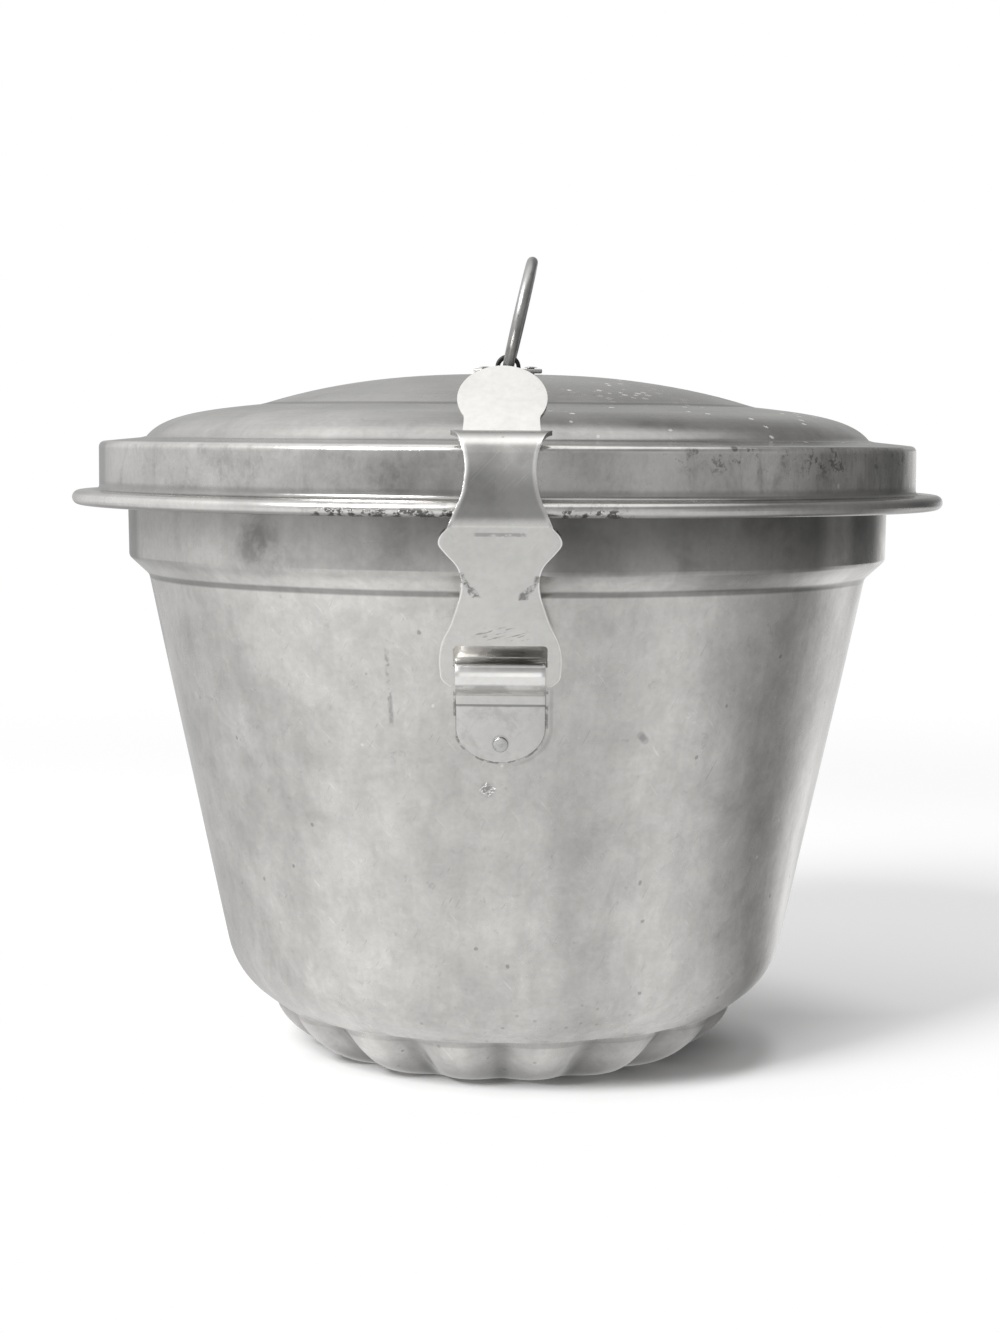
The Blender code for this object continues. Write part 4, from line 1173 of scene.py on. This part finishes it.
def clip_shape():
    """Points and faces of the front clip: lugs, window, waisted strap, crease, hook and thumb disc."""
    half_sheet = STRAP_SHEET / 2
    bar = sqrt((ROLL_BORE - FIT) ** 2 - half_sheet**2)
    hinge = Vector((hinge_radius, hinge_height))
    crease = Vector((flange_bead_r + FLANGE_BEAD + CREASE_OUT, flange_bead_z - CREASE_BELOW_FLANGE))
    lower = (crease - hinge).length
    toward = (crease - hinge) / lower
    clear = FIT + half_sheet
    beside = FLANGE_BEAD + PAST_FLANGE_GAP + half_sheet
    hook_top = lid_ledge + HOOK_RISE
    dip = Vector((band_radius - HOOK_IN, hook_top - HOOK_DIP))
    disc_far = DISC_STEM + 2 * DISC_RADIUS
    corners = [
        (*(hinge - toward * LUG_DROP), 0),
        (*crease, CREASE_ROUND),
        (flange_bead_r + beside * cos(PAST_FLANGE_ANGLE),
         flange_bead_z + beside * sin(PAST_FLANGE_ANGLE), PAST_FLANGE_ROUND),
        (band_radius + clear + SPRUNG_OUT, hook_top + HOOK_CORNER_UP, HOOK_ROUND),
        (*dip, DIP_ROUND),
        (dip.x - disc_far * cos(DISC_SLOPE), dip.y + disc_far * sin(DISC_SLOPE), 0),
    ]
    centre = rounded(corners)
    marks = lengths_of(centre)
    crease_at = marks[1 + CORNER_STEPS // 2]
    dip_at = marks[-2 - CORNER_STEPS // 2]
    disc_middle = marks[-1] - DISC_RADIUS
    window_low = LUG_DROP + bar
    window_high = window_low + WINDOW_HEIGHT
    needed = [0, LUG_DROP - bar, window_low, window_high, *marks[1:-1]]
    needed += [window_high - WINDOW_CORNER * (1 - sin(turn)) for turn in quarter_turn(WINDOW_CORNER_STEPS)]
    needed += [disc_middle + DISC_RADIUS * sin(turn) for turn in quarter_turn(DISC_STEPS)]
    stations = spaced(set(needed), marks[-1])
    stations = [s for i, s in enumerate(stations) if i == 0 or s - stations[i - 1] > SAME_POINT]
    path = [point_at(centre, marks, s) for s in stations]

    def half_width(s):
        """Half of the clip's width at a length along it."""
        if s < LUG_DROP:
            return LOWER_OUTLINE[0][1] - LUG_END_IN * (1 - s / LUG_DROP) ** 2
        if s <= crease_at:
            return smooth_width(LOWER_OUTLINE + ((1.0, UPPER_OUTLINE[0][1]),), (s - LUG_DROP) / lower)
        if s <= dip_at:
            return smooth_width(UPPER_OUTLINE, (s - crease_at) / (dip_at - crease_at))
        reach = (s - disc_middle) / DISC_RADIUS
        round_part = max(DISC_RADIUS * sqrt(max(1 - reach**2, 0)), DISC_TIP)
        if reach >= 0:
            return round_part
        eased = smoothstep(0, DISC_NECK_SHARE, (s - dip_at) / (disc_middle - dip_at))
        return (1 - eased) * UPPER_OUTLINE[-1][1] + eased * max(round_part, DISC_NECK)

    def edges_at(i):
        """Places across a row, closer together beside the window."""
        half = half_width(stations[i])
        if stations[i] <= window_high + SAME_POINT:
            corner = min(1.0, max(0.0, stations[i] - window_high + WINDOW_CORNER) / WINDOW_CORNER)
            inner = WINDOW_WIDTH / 2 - WINDOW_CORNER * (1 - sqrt(1 - corner**2))
        else:
            ease = smoothstep(0, MIDDLE_EASE, stations[i] - window_high)
            share = MIDDLE_SHARE[0] + (MIDDLE_SHARE[1] - MIDDLE_SHARE[0]) * ease
            inner = min(WINDOW_WIDTH / 2 - WINDOW_CORNER * (1 - ease), half * share)
        left = [-half + (half - inner) * k / SIDE_COLUMNS for k in range(SIDE_COLUMNS)]
        return left + across(inner, STRAP_COLUMNS) + [-x for x in reversed(left)]

    def present(i, j):
        """False in the window and between the lugs."""
        middle = (stations[i] + stations[i + 1]) / 2
        outside = middle < LUG_DROP - bar or window_low < middle < window_high
        return not (outside and SIDE_COLUMNS <= j < SIDE_COLUMNS + STRAP_COLUMNS)

    return strap(path, edges_at, lambda x, out, up: (x, -out, up), present)


def bracket_shape():
    """Points and faces of the front bracket: tongue on the wall, roll about the clip's bar, and leaf."""
    half_sheet = STRAP_SHEET / 2
    on_face = FIT + half_sheet
    roll = ROLL_BORE + half_sheet
    ends = [TONGUE_ROUND * (1 - cos(turn)) for turn in quarter_turn(TONGUE_STEPS)]
    path = [(on_face, -TONGUE_LENGTH + e) for e in ends]
    path += [(on_face, -below) for below in (TONGUE_CURVED_FROM, TONGUE_BENDS_BELOW, TONGUE_FLAT)]
    turn = arc((pivot_off_wall, 0), roll, pi, -ROLL_EXIT, ROLL_STEPS)
    leaf = 2 * FIT + STRAP_SHEET + half_sheet
    exit_out, exit_up = turn[-1]
    bend_up = exit_up - (exit_out - leaf) / tan(ROLL_EXIT)
    path += turn + rounded([
        (exit_out, exit_up, 0),
        (leaf, bend_up, LEAF_ROUND),
        (leaf, bend_up - LEAF_LENGTH, 0),
    ])[1:]
    half = BRACKET_WIDTH / 2
    widths = [max(half * sin(turn), TONGUE_TIP) for turn in quarter_turn(TONGUE_STEPS)]
    widths += [half] * (len(path) - len(widths))
    lean = Vector((cos(wall_lean), -sin(wall_lean)))
    rise = Vector((sin(wall_lean), cos(wall_lean)))
    foot = Vector((hinge_radius, hinge_height)) - lean * pivot_off_wall

    def on_cone(x, out, up):
        """A place on the bracket, bent round the wall where it is tongue."""
        spot = foot + lean * out + rise * up
        follows = min(max((-TONGUE_FLAT - up) / (TONGUE_CURVED_FROM - TONGUE_FLAT), 0), 1)
        if out > on_face + STRAP_SHEET:
            follows = 0
        return (x, -spot.x + spot.x * (1 - cos(x / spot.x)) * follows, spot.y)

    return strap(path, lambda i: across(widths[i], BRACKET_COLUMNS), on_cone)


def make_clips_and_brackets(clip_material, bracket_material):
    """A clip and its bracket at the front, and the same again at the back."""
    clip, bracket = clip_shape(), bracket_shape()
    for side, turn in SIDES:
        pieces = (("spring_clip", clip, clip_material, f"{side}_clip", "clip"),
                  ("hinge_bracket", bracket, bracket_material, "mould", "bracket"))
        for name, (points, *rest), material, body, slot in pieces:
            facing = Matrix.Rotation(turn, 3, "Z")
            shape = ([facing @ Vector(p) for p in points], *rest)
            new_piece(f"{name}_{side}", shape, material, body, slot, [f"{slot}_{side}"])


def rivet_shape(grip):
    """Points and faces of a rivet through a grip of sheet, its head up. The grip's top is at 0."""
    head = RIVET_HEAD_RISE
    ball = (RIVET_HEAD**2 + head**2) / (2 * head)
    spread = asin(RIVET_HEAD / ball)
    dome = arc((0, FIT + head - ball), ball, pi / 2, pi / 2 - spread, CORNER_STEPS)
    section = [(0, FIT + head)] + dome[1:] + [
        (RIVET_SHANK, FIT),
        (RIVET_SHANK, -grip - FIT),
        (RIVET_HEAD, -grip - FIT),
        (RIVET_HEAD - head / 2, -grip - FIT - head),
        (0, -grip - FIT - head),
    ]
    return turned(lambda step: section, RIVET_SEGMENTS)


def make_rivets(material):
    """The saddle's two rivets and the rivet of each bracket."""
    places = []
    for name, side in (("left", -1), ("right", 1)):
        top = Vector((side * saddle_rivet_x, 0, saddle_foot_z + STRAP_SHEET / 2))
        places.append((f"saddle_rivet_{name}", top, Vector((0, 0, 1)), STRAP_SHEET + FIT + SHEET, "cover"))
    height = rivet_height()
    for name, turn in SIDES:
        facing = Matrix.Rotation(turn, 3, "Z")
        normal = facing @ Vector((0, -cos(wall_lean), -sin(wall_lean)))
        top = facing @ Vector((0, -wall_radius(height), height)) + normal * (FIT + STRAP_SHEET)
        places.append((f"bracket_rivet_{name}", top, normal, SHEET + FIT + STRAP_SHEET, "mould"))
    for node, top, normal, grip, body in places:
        points, faces = rivet_shape(grip)
        turn = normal.to_track_quat("Z", "Y").to_matrix()
        placed = [turn @ Vector(p) + top for p in points]
        new_piece(f"{node}_head", (placed, faces), material, body, "rivet", [node])


def make_floor():
    """Pale floor: white to the camera apart from the shadow beside the mould; a glow of painted light and
    shadow in reflections.
    """
    bpy.ops.mesh.primitive_circle_add(vertices=FLOOR_SIDES, radius=FLOOR_RADIUS, fill_type="NGON")
    floor = bpy.context.object
    floor.name = "floor"
    paint = Paint("pale floor", (FLOOR_WHITE, FLOOR_WHITE, FLOOR_WHITE), FLOOR_ROUGHNESS, 0.0)
    paint.shader.inputs["Specular IOR Level"].default_value = FLOOR_SPECULAR
    paint.finished()
    far = paint.distance()

    def along(turn):
        """How far a place on the floor lies in a direction."""
        return paint.vector("DOT_PRODUCT", paint.place, (sin(turn), -cos(turn), 0))

    lit = paint.either(
        (far, FLOOR_WHITENS, FLOOR_RADIUS),
        (along(SHADOW_TURN), *reversed(SHADOW_BEGINS)),
        (along(SHADOW_SIDE_TURN), *SHADOW_SIDE_ENDS),
        (far, *SHADOW_LIFTS, 0.0, SHADOW_LIFT),
    )
    white = paint.node("ShaderNodeEmission").outputs[0]
    shown = paint.mix(paint.both(lit, (far, *CONTACT)), paint.shader.outputs[0], white)
    # In reflections the floor glows: painted light, dimmed beside the mould and dark to the right as painted
    # shadow
    strength = paint.spread(far, *NEAR_FLOOR, NEAR_FLOOR_SHARE, 1.0)
    glow = paint.node("ShaderNodeEmission", {"Color": paint.ramp(FLOOR_GLOW), "Strength": strength})
    surface = paint.mix(paint.sees_backdrop(), glow.outputs[0], shown)
    paint.feed(paint.tree.nodes["Material Output"].inputs["Surface"], surface)
    floor.data.materials.append(paint.material)


def make_world():
    """Room light that changes round the mould and with height, white behind it for the camera."""
    world = bpy.data.worlds.new("studio")
    bpy.context.scene.world = world
    world.use_nodes = True
    room = Nodes(world.node_tree, "Generated")

    def above(degrees):
        """Eases from one angle over the horizon to another."""
        return room.spread(room.axis("Z"), *(sin(radians(d)) for d in degrees))

    def blend(share, low, high):
        """Two colours in one."""
        return room.node("ShaderNodeMix", {0: share, 6: low, 7: high}, data_type="RGBA").outputs[2]

    light = blend(above(SKY_BEGINS), room.ramp(HORIZON), room.ramp(SKY))
    light = blend(above(OVERHEAD_BEGINS), light, (OVERHEAD, OVERHEAD, OVERHEAD, 1))
    lit = room.node("ShaderNodeBackground", {"Color": light}).outputs[0]
    white = room.node("ShaderNodeBackground", {"Color": (1, 1, 1, 1)}).outputs[0]
    surface = room.mix(room.sees_backdrop(above(BACKDROP_ENDS)), lit, white)
    room.feed(room.tree.nodes["World Output"].inputs["Surface"], surface)


def make_key_lamp():
    """A square soft lamp aimed at the mould."""
    data = bpy.data.lights.new("key", "AREA")
    data.size = KEY_SIZE
    data.energy = KEY_POWER
    lamp = bpy.data.objects.new("key", data)
    bpy.context.scene.collection.objects.link(lamp)
    lamp.location = KEY_SPOT
    lamp.rotation_euler = (Vector(KEY_TARGET) - Vector(KEY_SPOT)).to_track_quat("-Z", "Y").to_euler()


def make_camera():
    """The camera of the photograph."""
    data = bpy.data.cameras.new("photograph")
    data.sensor_fit = "VERTICAL"
    data.sensor_height = SENSOR
    data.lens = FOCAL_PIXELS / PICTURE_HEIGHT * SENSOR
    camera = bpy.data.objects.new("photograph", data)
    bpy.context.scene.collection.objects.link(camera)
    round_mould = Matrix.Rotation(CAMERA_TURN, 4, "Z")
    place = Matrix.Translation((CAMERA_ASIDE, -CAMERA_DISTANCE, CAMERA_HEIGHT))
    tilt = Matrix.Rotation(pi / 2 - CAMERA_PITCH, 4, "X")
    roll = Matrix.Rotation(CAMERA_ROLL, 4, "Z")
    camera.matrix_world = round_mould @ place @ tilt @ roll
    bpy.context.scene.camera = camera


def main():
    """Builds the stage and every visible piece."""
    bpy.context.scene.view_settings.view_transform = "Standard"
    make_camera()
    make_floor()
    make_world()
    make_key_lamp()
    new_piece("basin_shell", basin_shape(), basin_finish(), "mould", "basin", ["basin"])
    new_piece("steam_tube", tube_shape(), aged("tube aluminium").finished(), "mould", "tube", ["centre_tube"])
    new_piece("lid_shell", lid_shape(), lid_finish(), "cover", "lid", ["lid"])
    new_piece("lifting_ring", ring_shape(), ring_finish(), "ring", "ring", ["ring_handle"])
    new_piece("saddle_strap", saddle_shape(), saddle_finish(), "cover", "saddle", ["ring_saddle"])
    make_clips_and_brackets(clip_finish(), bracket_finish())
    make_rivets(rivet_finish())


main()
